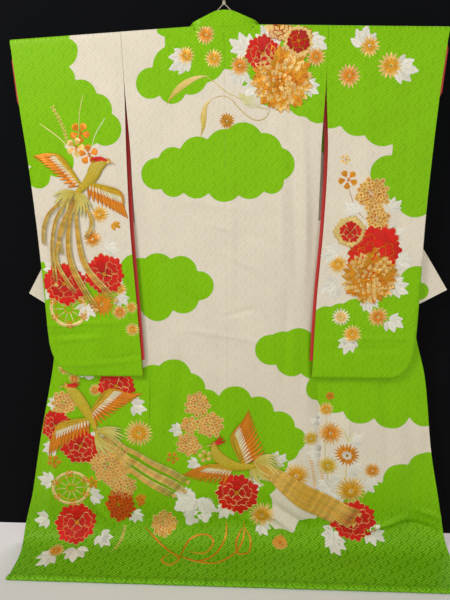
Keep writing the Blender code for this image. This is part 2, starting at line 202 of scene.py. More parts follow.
def twine(name, route, cad_node):
    """A twisted cord as a mesh tube along the route, whose points are as close as the plies need."""
    route = np.array(route, float)
    run = np.concatenate([[0], np.cumsum(np.linalg.norm(np.diff(route, axis=0), axis=1))])
    steps = np.linspace(0, run[-1], round(run[-1] / 0.0009))
    path = np.stack([np.interp(steps, run, route[:, k]) for k in range(3)], -1)
    way = np.gradient(path, axis=0)
    way /= np.linalg.norm(way, axis=1, keepdims=True)
    level = np.array([0.0, 1.0, 0.0])  # the whole cord lies in the plane of the shoulders
    other = np.cross(way, level)
    sides = 18
    angle = 2 * math.pi * np.arange(sides) / sides
    twist = angle + 2 * math.pi * steps[:, None] / TURN_LENGTH
    radius = CORD_R * (0.90 + 0.10 * np.abs(np.cos(PLIES * twist / 2)))
    around = np.cos(angle)[None, :, None] * level + np.sin(angle)[None, :, None] * other[:, None]
    points = (path[:, None] + radius[..., None] * around).reshape(-1, 3)
    index = np.arange(len(path) * sides).reshape(-1, sides)
    ends = [index[0, ::-1].tolist(), index[-1].tolist()]
    item = solid(name, points.tolist(), quads_of(index, closed=True).tolist() + ends, COTTON)
    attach(item, "root")
    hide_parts(cad_node)
    return item, [tuple(point) for point in path], float(run[-1])


knot = Vector((0, 0, SHOULDER_Z + KNOT_H))
for side, word in ((-1, "left"), (1, "right")):
    low = Vector((side * TIE_X, 0, SHOULDER_Z - FOLD_R - TIE_X * DROOP + ARM_R + SEAM + CORD_R))
    high = knot - (knot - low).normalized() * (KNOT_R + SEAM)
    leg, path, length = twine("cord_leg_" + word, [low.lerp(high, i / 14) for i in range(15)],
                              "hanger_cord_" + word)
loop_top, loop_foot = -CORD_R, knot.z + 0.0060
route = []
for i in range(33):
    height = (1 - math.cos(2 * math.pi * i / 32)) / 2
    width = 0.0022 + 0.0085 * math.sin(math.pi * height) ** 0.8 * (0.35 + 0.65 * height)
    width *= (1 if i <= 16 else -1) * min(1.0, abs(i - 16) / 3.0)
    route.append((width, 0.0, loop_foot + (loop_top - loop_foot) * height))
loop, path, length = twine("cord_loop", route, "hanger_loop")

# ---- Hanger ------------------------------------------------------------------------------------------
# Two turned beech arms in dark brown lacquer, slid onto a short drawn steel tube at the middle, where the
# cord's legs pull on them.  Lacquer shows the grain under a clear coat; drawn steel streaks along the tube.
LACQUER, lacquer_tree, lacquer_shader = material("lacquered_beech", rgb("4A2A16"), 0.28, coat_weight=0.5)
along_arm = node(lacquer_tree, "ShaderNodeMapping", None,
                 {"Vector": node(lacquer_tree, "ShaderNodeTexCoord").outputs["Object"]})
along_arm.inputs["Scale"].default_value = (12, 420, 420)  # grain lines 2 mm apart, drawn out along the arm
grain = node(lacquer_tree, "ShaderNodeTexNoise", None,
             {"Vector": along_arm.outputs[0], "Scale": 1.0, "Detail": 4.0})
grain_tone = node(lacquer_tree, "ShaderNodeValToRGB", None, {"Fac": grain.outputs["Fac"]})
grain_tone.color_ramp.elements[0].color = (*rgb("2C170B"), 1)
grain_tone.color_ramp.elements[1].color = (*rgb("6A3F22"), 1)
lacquer_tree.links.new(grain_tone.outputs["Color"], lacquer_shader.inputs["Base Color"])
STEEL, steel_tree, steel_shader = material("drawn_steel_tube", rgb("B9BABC"), 0.3, metallic=1.0)
drawn = node(steel_tree, "ShaderNodeMapping", None,
             {"Vector": node(steel_tree, "ShaderNodeTexCoord").outputs["Object"]})
drawn.inputs["Scale"].default_value = (30, 3000, 3000)  # draw lines 0.3 mm apart along the tube
lines = node(steel_tree, "ShaderNodeTexNoise", None,
             {"Vector": drawn.outputs[0], "Scale": 1.0, "Detail": 2.0})
steel_rough = node(steel_tree, "ShaderNodeMapRange", None,
                   {"Value": lines.outputs["Fac"], "To Min": 0.22, "To Max": 0.42})
steel_tree.links.new(steel_rough.outputs[0], steel_shader.inputs["Roughness"])
for name, mat in (("hanger_arm_left", LACQUER), ("hanger_arm_right", LACQUER), ("hanger_joint", STEEL),
                  ("cord_knot", COTTON)):
    for place_in in bpy.data.objects[name].material_slots:
        place_in.material = mat

# ---- How the cloth hangs -----------------------------------------------------------------------------
# Every panel is a sheet over the same form: straight down from the hanger's arms, round a bend near the
# floor and out along it.  The tables give the edges of the pieces on each side of the centre seam.
BODY_WALL, SLEEVE_WALL, LINING_WALL, COLLAR_WALL = 0.0020, 0.0016, 0.0010, 0.0026
NECK_X, SIDE_SLIT = 0.095, 0.56
BEND_S, BEND_R, HEM_S = 1.630, 0.081, 1.878
SIDES = {-1: "left", 1: "right"}
SIDE_EDGE = (  # s, left, right
    (0.00, 0.306, 0.303),
    (0.16, 0.302, 0.300),
    (0.35, 0.294, 0.291),
    (0.58, 0.294, 0.290),
    (0.82, 0.283, 0.285),
    (1.02, 0.268, 0.290),
    (1.17, 0.271, 0.305),
    (1.28, 0.279, 0.315),
    (1.47, 0.293, 0.330),
    (1.63, 0.304, 0.345),
    (1.90, 0.316, 0.356),
)
OKUMI_SEAM = (  # s, left, right
    (0.62, 0.418, 0.428),
    (0.86, 0.438, 0.465),
    (1.09, 0.460, 0.505),
    (1.33, 0.510, 0.536),
    (1.50, 0.543, 0.562),
    (1.65, 0.573, 0.583),
    (1.90, 0.600, 0.592),
)
FRONT_EDGE = (  # s, left, right
    (0.86, 0.569, 0.603),
    (0.96, 0.588, 0.623),
    (1.09, 0.613, 0.657),
    (1.34, 0.671, 0.692),
    (1.54, 0.716, 0.731),
    (1.68, 0.751, 0.756),
    (1.80, 0.727, 0.760),
    (1.90, 0.719, 0.757),
)
SLEEVE_OUTER = (  # s, left, right
    (0.00, 0.644, 0.646),
    (0.18, 0.633, 0.631),
    (0.34, 0.621, 0.622),
    (0.56, 0.610, 0.614),
    (0.82, 0.604, 0.612),
    (0.95, 0.602, 0.610),
    (1.00, 0.597, 0.606),
    (1.04, 0.582, 0.594),
    (1.07, 0.556, 0.574),
    (1.085, 0.522, 0.545),
)
SLEEVE_INNER = (  # s, left, right
    (0.00, 0.3065, 0.3035),
    (0.16, 0.3035, 0.3015),
    (0.35, 0.307, 0.311),
    (0.58, 0.307, 0.305),
    (0.82, 0.298, 0.290),
    (1.085, 0.289, 0.281),
)
SLEEVE_DEPTH = (  # s, back layer's y, front layer's y
    (0.00, -0.0110, 0.0110),
    (0.10, -0.0112, 0.0095),
    (0.30, -0.0122, 0.0035),
    (0.60, -0.0122, -0.0005),
    (0.90, -0.0112, -0.0025),
    (1.085, -0.0095, -0.0035),
)


def at(table, side, s):
    """The table's left or right column at the lengths s, on a smooth line through its rows."""
    rows = np.array(table)
    keys, values = rows[:, 0], rows[:, 1 if side < 0 else 2]
    s = np.clip(np.asarray(s, float), keys[0], keys[-1])
    i = np.clip(np.searchsorted(keys, s, side="right"), 1, len(keys) - 1)
    before, after = np.maximum(i - 2, 0), np.minimum(i + 1, len(keys) - 1)
    x0, x1, y0, y1 = keys[i - 1], keys[i], values[i - 1], values[i]
    m0 = (y1 - values[before]) / (x1 - keys[before])
    m1 = (values[after] - y0) / (keys[after] - x0)
    t, d = (s - x0) / (x1 - x0), x1 - x0
    return (
        (2 * t**3 - 3 * t**2 + 1) * y0
        + (t**3 - 2 * t**2 + t) * d * m0
        + (3 * t**2 - 2 * t**3) * y1
        + (t**3 - t**2) * d * m1
    )


def edge_at(table, x, s):
    """The table's distance from the centre seam on the side that x is on."""
    return np.where(x < 0, at(table, -1, s), at(table, 1, s))


def ramp(low, high, value):
    t = np.clip((np.asarray(value, float) - low) / (high - low), 0, 1)
    return t * t * (3 - 2 * t)


def creases(rows, x, s):
    """Sum of soft ridges (plus) and troughs (minus): each from (x0, s0) to (x1, s1), wide and high."""
    total = np.zeros(np.broadcast(x, s).shape)
    for x0, s0, x1, s1, wide, high in rows:
        dx, ds = x1 - x0, s1 - s0
        length = math.hypot(dx, ds)
        along = ((x - x0) * dx + (s - s0) * ds) / length
        across = ((x - x0) * ds - (s - s0) * dx) / length
        bow = across + 0.06 * length * (np.clip(along / length, 0, 1) - 0.5) ** 2
        ends = ramp(-0.3, 0.35, along / length) * (1 - ramp(0.65, 1.3, along / length))
        total += high * np.exp(-((bow / wide) ** 2)) * ends
    return total


def ripple(x, s):
    depth = 0.006 * ramp(1.05, 1.45, s) * (1 - ramp(1.66, 1.74, s))
    return depth * (np.sin(x * 21 + 0.4) + 0.6 * np.sin(x * 37 + 2.1))


def back_depth(x, s):
    recess = 0.019 * ramp(0.72, 1.0, np.abs(x) / edge_at(SIDE_EDGE, x, s)) * ramp(0.40, 0.60, s)
    lower = ramp(1.0, 1.35, s)
    return (-0.011 + recess) * (1 - lower) - 0.002 * lower + ripple(x, s)


def front_depth(x, s):
    inner = edge_at(SIDE_EDGE, x, s)
    signed = np.sign(x) * inner
    edge = back_depth(signed, s) - ripple(signed, s)
    behind = 0.019 - 0.007 * ramp(0.45, 0.66, s)
    away = np.where(s > SIDE_SLIT, ramp(0.0, 0.05, np.abs(x) - inner), 1.0)
    lower = ramp(1.0, 1.35, s)
    flat = (edge + (behind - edge) * away) * (1 - lower) - 0.002 * lower
    return flat + ripple(x, s)


def hang(x, y, s):
    """Points of the body cloth at x and length s, y deep."""
    quarter = BEND_R * math.pi / 2
    droop = np.abs(x) * DROOP * (1 - ramp(0.2, 1.2, s))
    turn = np.clip((s - BEND_S) / BEND_R, 0, math.pi / 2)
    out = np.maximum(s - BEND_S - quarter, 0)
    fade = 1 - ramp(0, math.pi / 2, turn)
    place_y = y * fade - BEND_R * (1 - np.cos(turn)) - out
    place_z = SHOULDER_Z - np.minimum(s, BEND_S) - droop - BEND_R * np.sin(turn)
    place_z = place_z + BODY_WALL / 2 * (turn > 0) * np.where(out > 0, 0, 1)
    place_z = np.where(out > 0, FLOOR_Z + BODY_WALL / 2, place_z)
    return np.stack(np.broadcast_arrays(x, place_y, place_z), -1)


def over_arm(x, angle, radius=FOLD_R):
    """Points round the hanger's arm: angle 0 is the back, pi the front."""
    z = SHOULDER_Z - FOLD_R - np.abs(x) * DROOP + radius * np.sin(angle)
    return np.stack(np.broadcast_arrays(x, -radius * np.cos(angle), z), -1)


def sleeve_point(x, s, layer):
    y = at(SLEEVE_DEPTH, -1, s) * (1 - layer) + at(SLEEVE_DEPTH, 1, s) * layer
    z = SHOULDER_Z - s - np.abs(x) * DROOP * (1 - ramp(0.2, 1.0, s))
    return np.stack(np.broadcast_arrays(x, y, z), -1)


# ---- Figured satin -----------------------------------------------------------------------------------
# Silk satin damask: a lattice of slanting bars with diamond eyes woven tone on tone, dyed in clouds of
# green on a cream ground.  The cloud edge is read from the distance that each point carries.
GREEN, CREAM, RED = "78B800", "DED2BC", "C41A0C"
# Clouds are unions of round lobes, as x, s and radius in centimetres, and of boxes that fill their middles.
BODY_CLOUDS = {
    "lobes": (
        (-22.3, 15.0, 4.4), (-16.0, 10.5, 5.4), (-15.7, 17.0, 4.2), (-10.0, 14.0, 5.0), (-5.5, 10.0, 5.8),
        (-17.0, -0.3, 2.8), (7.5, 11.4, 5.9), (14.0, 15.0, 7.6), (23.5, 20.4, 5.0), (28.0, 22.4, 4.8),
        (-21.5, 41.5, 4.8), (-16.4, 38.2, 4.5), (-8.8, 36.4, 5.4), (-0.3, 35.2, 5.9), (5.6, 33.5, 6.2),
        (11.8, 35.8, 5.6), (16.3, 39.3, 4.9), (14.2, 44.6, 3.7), (7.3, 44.8, 5.2), (-0.4, 45.6, 5.4),
        (-9.0, 44.6, 5.0), (-16.2, 44.6, 4.2),
        (-22.3, 72.0, 5.6), (-14.8, 72.8, 5.3), (-9.0, 77.4, 4.8), (-14.4, 81.3, 5.3), (-23.4, 83.4, 5.9),
        (-28.0, 77.0, 9.0),
        (14.5, 99.0, 5.3), (18.2, 98.0, 5.3), (23.3, 97.2, 5.6), (21.4, 103.0, 5.3), (29.9, 102.4, 7.3),
        (31.0, 112.8, 4.7), (36.0, 116.3, 5.6), (45.0, 119.4, 6.0), (55.4, 120.8, 6.3), (66.8, 120.3, 6.0),
        (61.0, 116.0, 5.0), (6.0, 164.5, 6.4), (60.0, 152.5, 6.0),
        (-18.2, 108.4, 5.9), (-12.9, 112.7, 5.3), (-7.2, 117.6, 4.4), (2.4, 117.6, 5.7), (10.2, 121.1, 5.4),
        (17.4, 126.4, 5.4), (22.0, 131.3, 4.7), (20.0, 135.0, 4.4), (-25.0, 112.0, 7.0),
        (-9.0, 121.0, 6.0), (15.0, 140.5, 5.6), (11.0, 148.0, 6.2), (8.5, 157.0, 7.0), (11.5, 170.0, 6.0),
        (19.0, 171.5, 5.6), (26.5, 171.0, 5.8),
        (59.5, 146.0, 5.9), (68.4, 142.4, 6.6), (51.0, 151.6, 4.8), (42.7, 158.6, 6.6), (36.0, 165.5, 5.9),
        (28.5, 167.5, 5.4),
    ),
    "boxes": (  # left, right, top, foot
        (-17.5, 5.0, -9.0, 8.5), (-8.0, 3.5, -9.0, 11.0), (0.0, 48.0, -9.0, 12.5), (10.0, 48.0, -9.0, 19.5),
        (-19.5, 16.0, 36.5, 45.0), (-31.0, -12.0, 71.0, 84.0),
        (16.0, 34.0, 97.0, 104.0), (29.5, 90.0, 88.0, 116.5),
        (-90.0, -33.0, 97.0, 200.0), (-90.0, -27.5, 108.0, 200.0), (-90.0, -14.0, 112.0, 200.0),
        (-90.0, 12.0, 121.0, 149.0),
        (-90.0, 3.0, 140.0, 200.0), (4.0, 19.0, 127.0, 136.0), (-5.0, 13.0, 118.5, 140.0),
        (-90.0, 90.0, 170.0, 200.0), (57.0, 90.0, 147.0, 200.0), (46.0, 90.0, 153.0, 200.0),
        (33.0, 90.0, 163.5, 200.0),
    ),
}
SLEEVE_CLOUDS = {
    "lobes": (
        (-48.8, 4.2, 5.0), (-48.4, 11.9, 3.2), (-43.8, 17.5, 4.9), (-39.2, 21.8, 4.9), (-36.7, 27.4, 4.9),
        (-44.0, 26.5, 6.2), (-52.2, 36.4, 4.8), (-59.0, 40.6, 3.8), (-59.4, 72.8, 4.2), (-29.2, 72.2, 5.6),
        (-42.0, 79.8, 5.8), (-52.0, 80.4, 5.3),
        (31.6, 23.1, 5.5), (39.7, 25.0, 5.7), (47.2, 27.2, 6.3), (49.5, 41.6, 5.5), (52.9, 47.5, 4.8),
        (58.2, 49.5, 5.5), (60.0, 76.0, 5.3), (32.0, 88.4, 4.2), (36.7, 87.7, 4.5), (41.3, 86.1, 4.5),
        (49.1, 83.3, 6.6),
    ),
    "boxes": (
        (-80.0, -50.0, -9.0, 37.0), (-80.0, -44.0, 15.0, 31.0), (-34.0, -25.0, 72.0, 120.0),
        (-80.0, -57.0, 73.0, 120.0), (-80.0, -25.0, 78.0, 120.0),
        (20.0, 80.0, -9.0, 22.5), (45.0, 80.0, -9.0, 27.5), (50.3, 80.0, -9.0, 48.0),
        (20.0, 80.0, 88.5, 120.0), (40.0, 80.0, 84.5, 120.0), (55.0, 80.0, 78.0, 120.0),
    ),
}


def cloud(shapes, x, s):
    """Signed distance in millimetres, positive inside the green."""
    x, s = np.broadcast_arrays(x * 100, s * 100)
    best = np.full(x.shape, -1e3)
    for cx, cs, r in shapes["lobes"]:
        best = np.maximum(best, r - np.hypot(x - cx, s - cs))
    for left, right, top, foot in shapes["boxes"]:
        best = np.maximum(best, np.minimum(np.minimum(x - left, right - x), np.minimum(s - top, foot - s)))
    return best * 10


LATTICE = (  # short woven bars of one repeat: centre along each slant, then half its size along each
    (0.40, 0.00, 0.40, 0.045),
    (0.30, 0.20, 0.30, 0.045),
    (0.78, 0.60, 0.045, 0.40),
    (0.96, 0.50, 0.045, 0.32),
    (0.56, 0.52, 0.045, 0.20),
    (0.40, 0.40, 0.18, 0.045),
    (0.22, 0.62, 0.045, 0.20),
    (0.38, 0.80, 0.20, 0.045),
    (0.39, 0.60, 0.060, 0.060),
)
REPEAT_X, REPEAT_S = 0.064, 0.040


def satin(name):
    """Figured satin from the point's cloud distance and the cloth map in metres.

    Long floats make it gleam; the figure is woven the other way, so it is smoother and stands up, and its
    paler colour is painted sheen.
    """
    mat, tree, shader = material(name, rgb(CREAM), 0.42)
    uv = node(tree, "ShaderNodeUVMap", {"uv_map": "cloth"})
    split = node(tree, "ShaderNodeSeparateXYZ", None, {"Vector": uv})
    u = node(tree, "ShaderNodeMath", {"operation": "DIVIDE"}, {0: split.outputs["X"], 1: REPEAT_X})
    v = node(tree, "ShaderNodeMath", {"operation": "DIVIDE"}, {0: split.outputs["Y"], 1: REPEAT_S})
    slants = [node(tree, "ShaderNodeMath", {"operation": way}, {0: u, 1: v}) for way in ("ADD", "SUBTRACT")]
    woven = None
    for *centres, half_p, half_q in LATTICE:
        rooms = []
        for away, centre, half in zip(slants, centres, (half_p, half_q)):
            for operation, amount in (("SUBTRACT", centre - 0.5), ("FRACT", 0), ("SUBTRACT", 0.5),
                                      ("ABSOLUTE", 0)):
                away = node(tree, "ShaderNodeMath", {"operation": operation}, {0: away, 1: amount})
            rooms.append(node(tree, "ShaderNodeMath", {"operation": "SUBTRACT"}, {0: half, 1: away}))
        room = node(tree, "ShaderNodeMath", {"operation": "MINIMUM"}, {0: rooms[0], 1: rooms[1]})
        one = node(tree, "ShaderNodeMath", {"operation": "MULTIPLY", "use_clamp": True}, {0: room, 1: 40.0})
        woven = one if woven is None else node(tree, "ShaderNodeMath", {"operation": "MAXIMUM"},
                                               {0: woven, 1: one})
    edge = node(tree, "ShaderNodeAttribute", {"attribute_name": "cloud"}).outputs["Fac"]
    green = node(tree, "ShaderNodeMath", {"operation": "MULTIPLY_ADD", "use_clamp": True},
                 {0: edge, 1: 1.6, 2: 0.5})
    # painted sheen: a soft noise mottles the colour's brightness up to 8 percent lighter and darker, for the
    # satin's uneven gleam
    noise = node(tree, "ShaderNodeTexNoise", None,
                 {"Vector": uv, "Scale": 9.0, "Detail": 3.0}).outputs["Fac"]
    sheen_mottle = node(tree, "ShaderNodeMath", {"operation": "MULTIPLY_ADD"}, {0: noise, 1: 0.16, 2: 0.92})
    # painted shade and sheen toward the floor: a ramp down the cloth from 1.50 m to 1.74 m
    low = node(tree, "ShaderNodeMapRange", None,
               {"Value": split.outputs["Y"], "From Min": 1.50, "From Max": 1.74})
    greens_with_floor_shade_and_sheen = []  # painted shade near the floor: the ground's green darkens where the cloth turns onto the floor, and the figure's green pales there as painted sheen
    for upper, lower in ((GREEN, "529600"), ("8CC808", "96CC28")):
        ends = {0: low, 6: (*rgb(upper), 1), 7: (*rgb(lower), 1)}
        greens_with_floor_shade_and_sheen.append(node(tree, "ShaderNodeMix", {"data_type": "RGBA"}, ends).outputs[2])
    # painted sheen: the figure is given a paler green and a paler cream than the ground
    leaf = node(tree, "ShaderNodeMix", {"data_type": "RGBA"}, {0: woven, 6: greens_with_floor_shade_and_sheen[0], 7: greens_with_floor_shade_and_sheen[1]})
    creams = {0: woven, 6: (*rgb(CREAM), 1), 7: (*rgb("E8DFCE"), 1)}
    milk = node(tree, "ShaderNodeMix", {"data_type": "RGBA"}, creams)
    dyed = node(tree, "ShaderNodeMix", {"data_type": "RGBA"},
                {0: green, 6: milk.outputs[2], 7: leaf.outputs[2]})
    sheen_grey = node(tree, "ShaderNodeCombineColor", None, {"Red": sheen_mottle, "Green": sheen_mottle, "Blue": sheen_mottle})
    sheen_mottled = node(tree, "ShaderNodeMix", {"data_type": "RGBA", "blend_type": "MULTIPLY"},
                  {0: 1.0, 6: dyed.outputs[2], 7: sheen_grey})
    tree.links.new(sheen_mottled.outputs[2], shader.inputs["Base Color"])
    rough = node(tree, "ShaderNodeMath", {"operation": "MULTIPLY_ADD"}, {0: woven, 1: -0.20, 2: 0.56})
    tree.links.new(rough.outputs[0], shader.inputs["Roughness"])
    shader.inputs["Specular IOR Level"].default_value = 0.26
    shader.inputs["Specular Tint"].default_value = (1.0, 0.98, 0.45, 1.0)
    # fine warp ribs under the raised figure
    warp = node(tree, "ShaderNodeTexWave", {"wave_type": "BANDS", "bands_direction": "X"},
                {"Vector": uv, "Scale": 220.0})
    figure = node(tree, "ShaderNodeMath", {"operation": "MULTIPLY"}, {0: woven, 1: 0.5})
    height = node(tree, "ShaderNodeMath", {"operation": "MULTIPLY_ADD"},
                  {0: warp.outputs["Fac"], 1: 0.06, 2: figure})
    bump = node(tree, "ShaderNodeBump", None, {"Strength": 0.25, "Distance": 0.0006, "Height": height})
    tree.links.new(bump.outputs["Normal"], shader.inputs["Normal"])
    return mat


SATIN = satin("figured_silk_satin")
# plain-woven silk: a soft, even red with a faint grain
LINING, lining_tree, lining_shader = material("red_silk_lining", rgb(RED), 0.5, sheen_weight=0.2)
coords = node(lining_tree, "ShaderNodeTexCoord")
grain = node(
    lining_tree, "ShaderNodeTexNoise", None,
    {"Vector": coords.outputs["Object"], "Scale": 600.0, "Detail": 2.0}
)
lining_bump = node(
    lining_tree, "ShaderNodeBump", None,
    {"Strength": 0.2, "Distance": 0.0004, "Height": grain.outputs["Fac"]}
)
lining_tree.links.new(lining_bump.outputs["Normal"], lining_shader.inputs["Normal"])


# ---- Sheets to shells --------------------------------------------------------------------------------
# A piece is one or more grids of points with the flat cloth coordinates (x, s) of each; grids meet where
# their points are equal.  The shell has satin outside, lining inside and satin over its cut edges.
def spread(first, last, count):
    return np.linspace(first, last, count + 1)


def shell(name, grids, wall, clouds, outer=SATIN, inner=LINING):
    """grids are (points, x, s) arrays of rows and columns, all wound the same way."""
    places, flat, quads = [], [], []
    base = 0
    for points, x, s in grids:
        rows, cols = points.shape[:2]
        x, s = np.broadcast_arrays(x, s)
        places.append(points.reshape(-1, 3))
        flat.append(np.stack([np.broadcast_to(v, (rows, cols)) for v in (x, s)], -1).reshape(-1, 2))
        index = base + np.arange(rows * cols).reshape(rows, cols)
        quads.append(quads_of(index))
        base += rows * cols
    places, flat, quads = np.concatenate(places), np.concatenate(flat), np.concatenate(quads)
    _, first, back = np.unique(np.round(places, 6), axis=0, return_index=True, return_inverse=True)
    back = back.reshape(-1)
    corner_flat = flat[quads]
    places, flat, quads = places[first], flat[first], back[quads]
    count = len(places)
    across = np.cross(places[quads[:, 2]] - places[quads[:, 0]], places[quads[:, 3]] - places[quads[:, 1]])
    normals = np.zeros_like(places)
    for k in range(4):
        np.add.at(normals, quads[:, k], across)
    normals /= np.maximum(np.linalg.norm(normals, axis=1, keepdims=True), 1e-12)
    both = np.concatenate([places + normals * wall / 2, places - normals * wall / 2])
    ahead = np.stack([quads, np.roll(quads, -1, axis=1)], -1).reshape(-1, 2)
    key, reverse = ahead[:, 0] * count + ahead[:, 1], ahead[:, 1] * count + ahead[:, 0]
    rim = ahead[~np.isin(key, reverse)]
    sides = np.stack([rim[:, 1], rim[:, 0], rim[:, 0] + count, rim[:, 1] + count], -1)
    faces = np.concatenate([quads, quads[:, ::-1] + count, sides])
    item = solid(name, both.tolist(), faces.tolist(), outer, inner)
    mesh = item.data
    which = np.concatenate([np.zeros(len(quads)), np.ones(len(quads)), np.zeros(len(sides))]).astype(int)
    mesh.polygons.foreach_set("material_index", which)
    both_flat = np.concatenate([flat, flat])
    layer = mesh.uv_layers.new(name="cloth")
    corners = np.concatenate([corner_flat, corner_flat[:, ::-1], both_flat[sides]]).reshape(-1, 2)
    layer.data.foreach_set("uv", corners.astype(np.float32).ravel())
    distance = cloud(clouds, both_flat[:, 0], both_flat[:, 1]) if clouds else np.full(len(both), 50.0)
    mesh.attributes.new("cloud", "FLOAT", "POINT").data.foreach_set("value", distance.astype(np.float32))
    mesh.update()
    mesh.set_sharp_from_angle(angle=math.radians(60))
    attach(item, "root")
    return item


# ---- Body panels -------------------------------------------------------------------------------------
# One length of silk a side, lined in red and interlined: up the back, over the hanger's arm and down the
# opened front.  The centre back seam joins the two; folds from storing it flat still show.
BODY_CREASES = (  # x, s of one end, x, s of the other, width, height
    (-0.12, 0.50, 0.10, 0.54, 0.012, 0.0016),
    (0.04, 0.60, 0.20, 0.66, 0.014, -0.0018),
    (-0.03, 0.66, 0.14, 0.74, 0.010, 0.0022),
    (-0.16, 0.78, -0.02, 0.88, 0.016, -0.0020),
    (0.10, 0.82, 0.17, 1.06, 0.012, 0.0022),
    (0.20, 0.76, 0.19, 1.10, 0.016, -0.0028),
    (0.26, 0.86, 0.27, 1.22, 0.014, 0.0030),
    (-0.22, 0.60, -0.25, 0.98, 0.020, 0.0026),
    (-0.14, 0.98, -0.20, 1.35, 0.022, -0.0030),
    (0.02, 1.05, 0.00, 1.45, 0.026, 0.0030),
    (0.12, 1.20, 0.16, 1.60, 0.022, -0.0034),
    (-0.33, 1.05, -0.36, 1.55, 0.020, 0.0040),
    (-0.46, 1.10, -0.52, 1.60, 0.022, -0.0036),
    (0.40, 1.10, 0.43, 1.60, 0.020, 0.0042),
    (0.52, 1.02, 0.57, 1.58, 0.024, -0.0040),
    (0.30, 1.30, 0.33, 1.62, 0.016, 0.0030),
    (-0.30, 1.02, -0.42, 0.98, 0.008, 0.0026),
    (-0.40, 0.99, -0.52, 1.02, 0.007, -0.0022),
    (-0.52, 1.55, -0.40, 1.68, 0.018, 0.0040),
    (0.00, 1.60, 0.12, 1.66, 0.016, 0.0034),
    (0.34, 1.60, 0.48, 1.66, 0.016, 0.0036),
    (-0.20, 0.10, -0.12, 0.32, 0.020, -0.0014),
    (0.18, 0.12, 0.10, 0.36, 0.020, -0.0014),
    (-0.60, 1.30, -0.66, 1.60, 0.018, 0.0032),
    (0.24, 0.30, 0.262, 0.78, 0.012, 0.0034),
    (0.205, 0.35, 0.225, 0.85, 0.014, -0.0034),
    (0.17, 0.42, 0.18, 0.70, 0.010, 0.0022),
    (0.305, 1.06, 0.325, 1.58, 0.012, -0.0046),
    (0.47, 1.66, 0.62, 1.61, 0.011, 0.0075),
    (0.60, 1.63, 0.735, 1.655, 0.010, -0.0070),
    (0.62, 1.665, 0.72, 1.69, 0.009, 0.0050),
    (0.66, 1.58, 0.735, 1.60, 0.009, 0.0050),
    (0.15, 1.56, 0.34, 1.70, 0.014, -0.0070),
    (0.12, 1.59, 0.30, 1.71, 0.010, 0.0050),
    (-0.06, 0.575, 0.02, 0.60, 0.007, 0.0022),
    (-0.14, 0.92, 0.10, 0.96, 0.008, 0.0022),
    (-0.02, 0.88, 0.10, 0.85, 0.008, -0.0020),
    (0.02, 0.30, 0.01, 1.00, 0.016, 0.0018),
    (0.64, 1.18, 0.69, 1.58, 0.018, 0.0034),
)


def pull(x, s):
    """Creases stand toward the viewer, and lie flat where the cloth rests on the floor."""
    return -1.5 * creases(BODY_CREASES, x, s) * (1 - ramp(1.70, 1.755, s))


STEP = 0.0065


def rows_between(first, last):
    return spread(first, last, max(2, round((last - first) / STEP)))


def arc(points, t):
    """Places on a three-point curve at the shares t of its way."""
    a, b, c = (np.array(p) for p in points)
    return (1 - t) ** 2 * a + 2 * t * (1 - t) * b + t * t * c


def curve_x(points, s):
    """x of a three-point curve at the lengths s below the shoulder."""
    line = arc(points, np.linspace(0, 1, 400)[:, None])
    return np.interp(s, -line[:, 1], line[:, 0])


COLLAR_NECK = (  # seam x, y, h, then free edge x, y, h, from the centre back round to the front
    (0.000, -0.0110, -0.0090, 0.000, -0.0130, 0.0350),
    (0.025, -0.0110, -0.0088, 0.024, -0.0130, 0.0325),
    (0.050, -0.0110, -0.0075, 0.047, -0.0125, 0.0235),
    (0.070, -0.0100, -0.0045, 0.066, -0.0110, 0.0155),
    (0.084, -0.0060, 0.0008, 0.080, -0.0060, 0.0110),
    (0.0905, 0.0010, 0.0022, 0.092, 0.0010, 0.0080),
    (0.0915, 0.0110, -0.0010, 0.101, 0.0120, 0.0040),
    (0.0940, 0.0190, -0.0120, 0.1130, 0.0205, -0.0060),
)
COLLAR_SEAM = {
    -1: ((0.100, -0.022), (0.310, -0.425), (0.569, -0.862)),
    1: ((0.100, -0.022), (0.330, -0.400), (0.603, -0.845)),
}
COLLAR_FREE = {
    -1: ((0.122, -0.016), (0.350, -0.255), (0.668, -0.794)),
    1: ((0.122, -0.016), (0.375, -0.235), (0.707, -0.784)),
}
NECK_COLS, SHOULDER_COLS, ARM_STEPS, FRONT_Y = 14, 32, 14, 0.011
NECK_ROUND_X = 0.0925  # the shoulder fold starts here, and a narrow strip joins it to the neck's seam


def neck_seam(side, row):
    """Points of the body's edge along the back of the neck, at fractional rows of the collar's table."""
    table = np.array(COLLAR_NECK)
    x, y, h = (np.interp(row, np.arange(len(table)), table[:, k]) for k in range(3))
    return np.stack([side * x, y, SHOULDER_Z + h - SEAM / 2], -1)


def seam_x(side, s):
    return np.where(s >= OKUMI_SEAM[0][0], at(OKUMI_SEAM, side, s), curve_x(COLLAR_SEAM[side], s) - 0.0016)


def fold_x(side, s):
    return NECK_X + (at(SIDE_EDGE, side, SIDE_SLIT) - 0.006 - NECK_X) * s / SIDE_SLIT


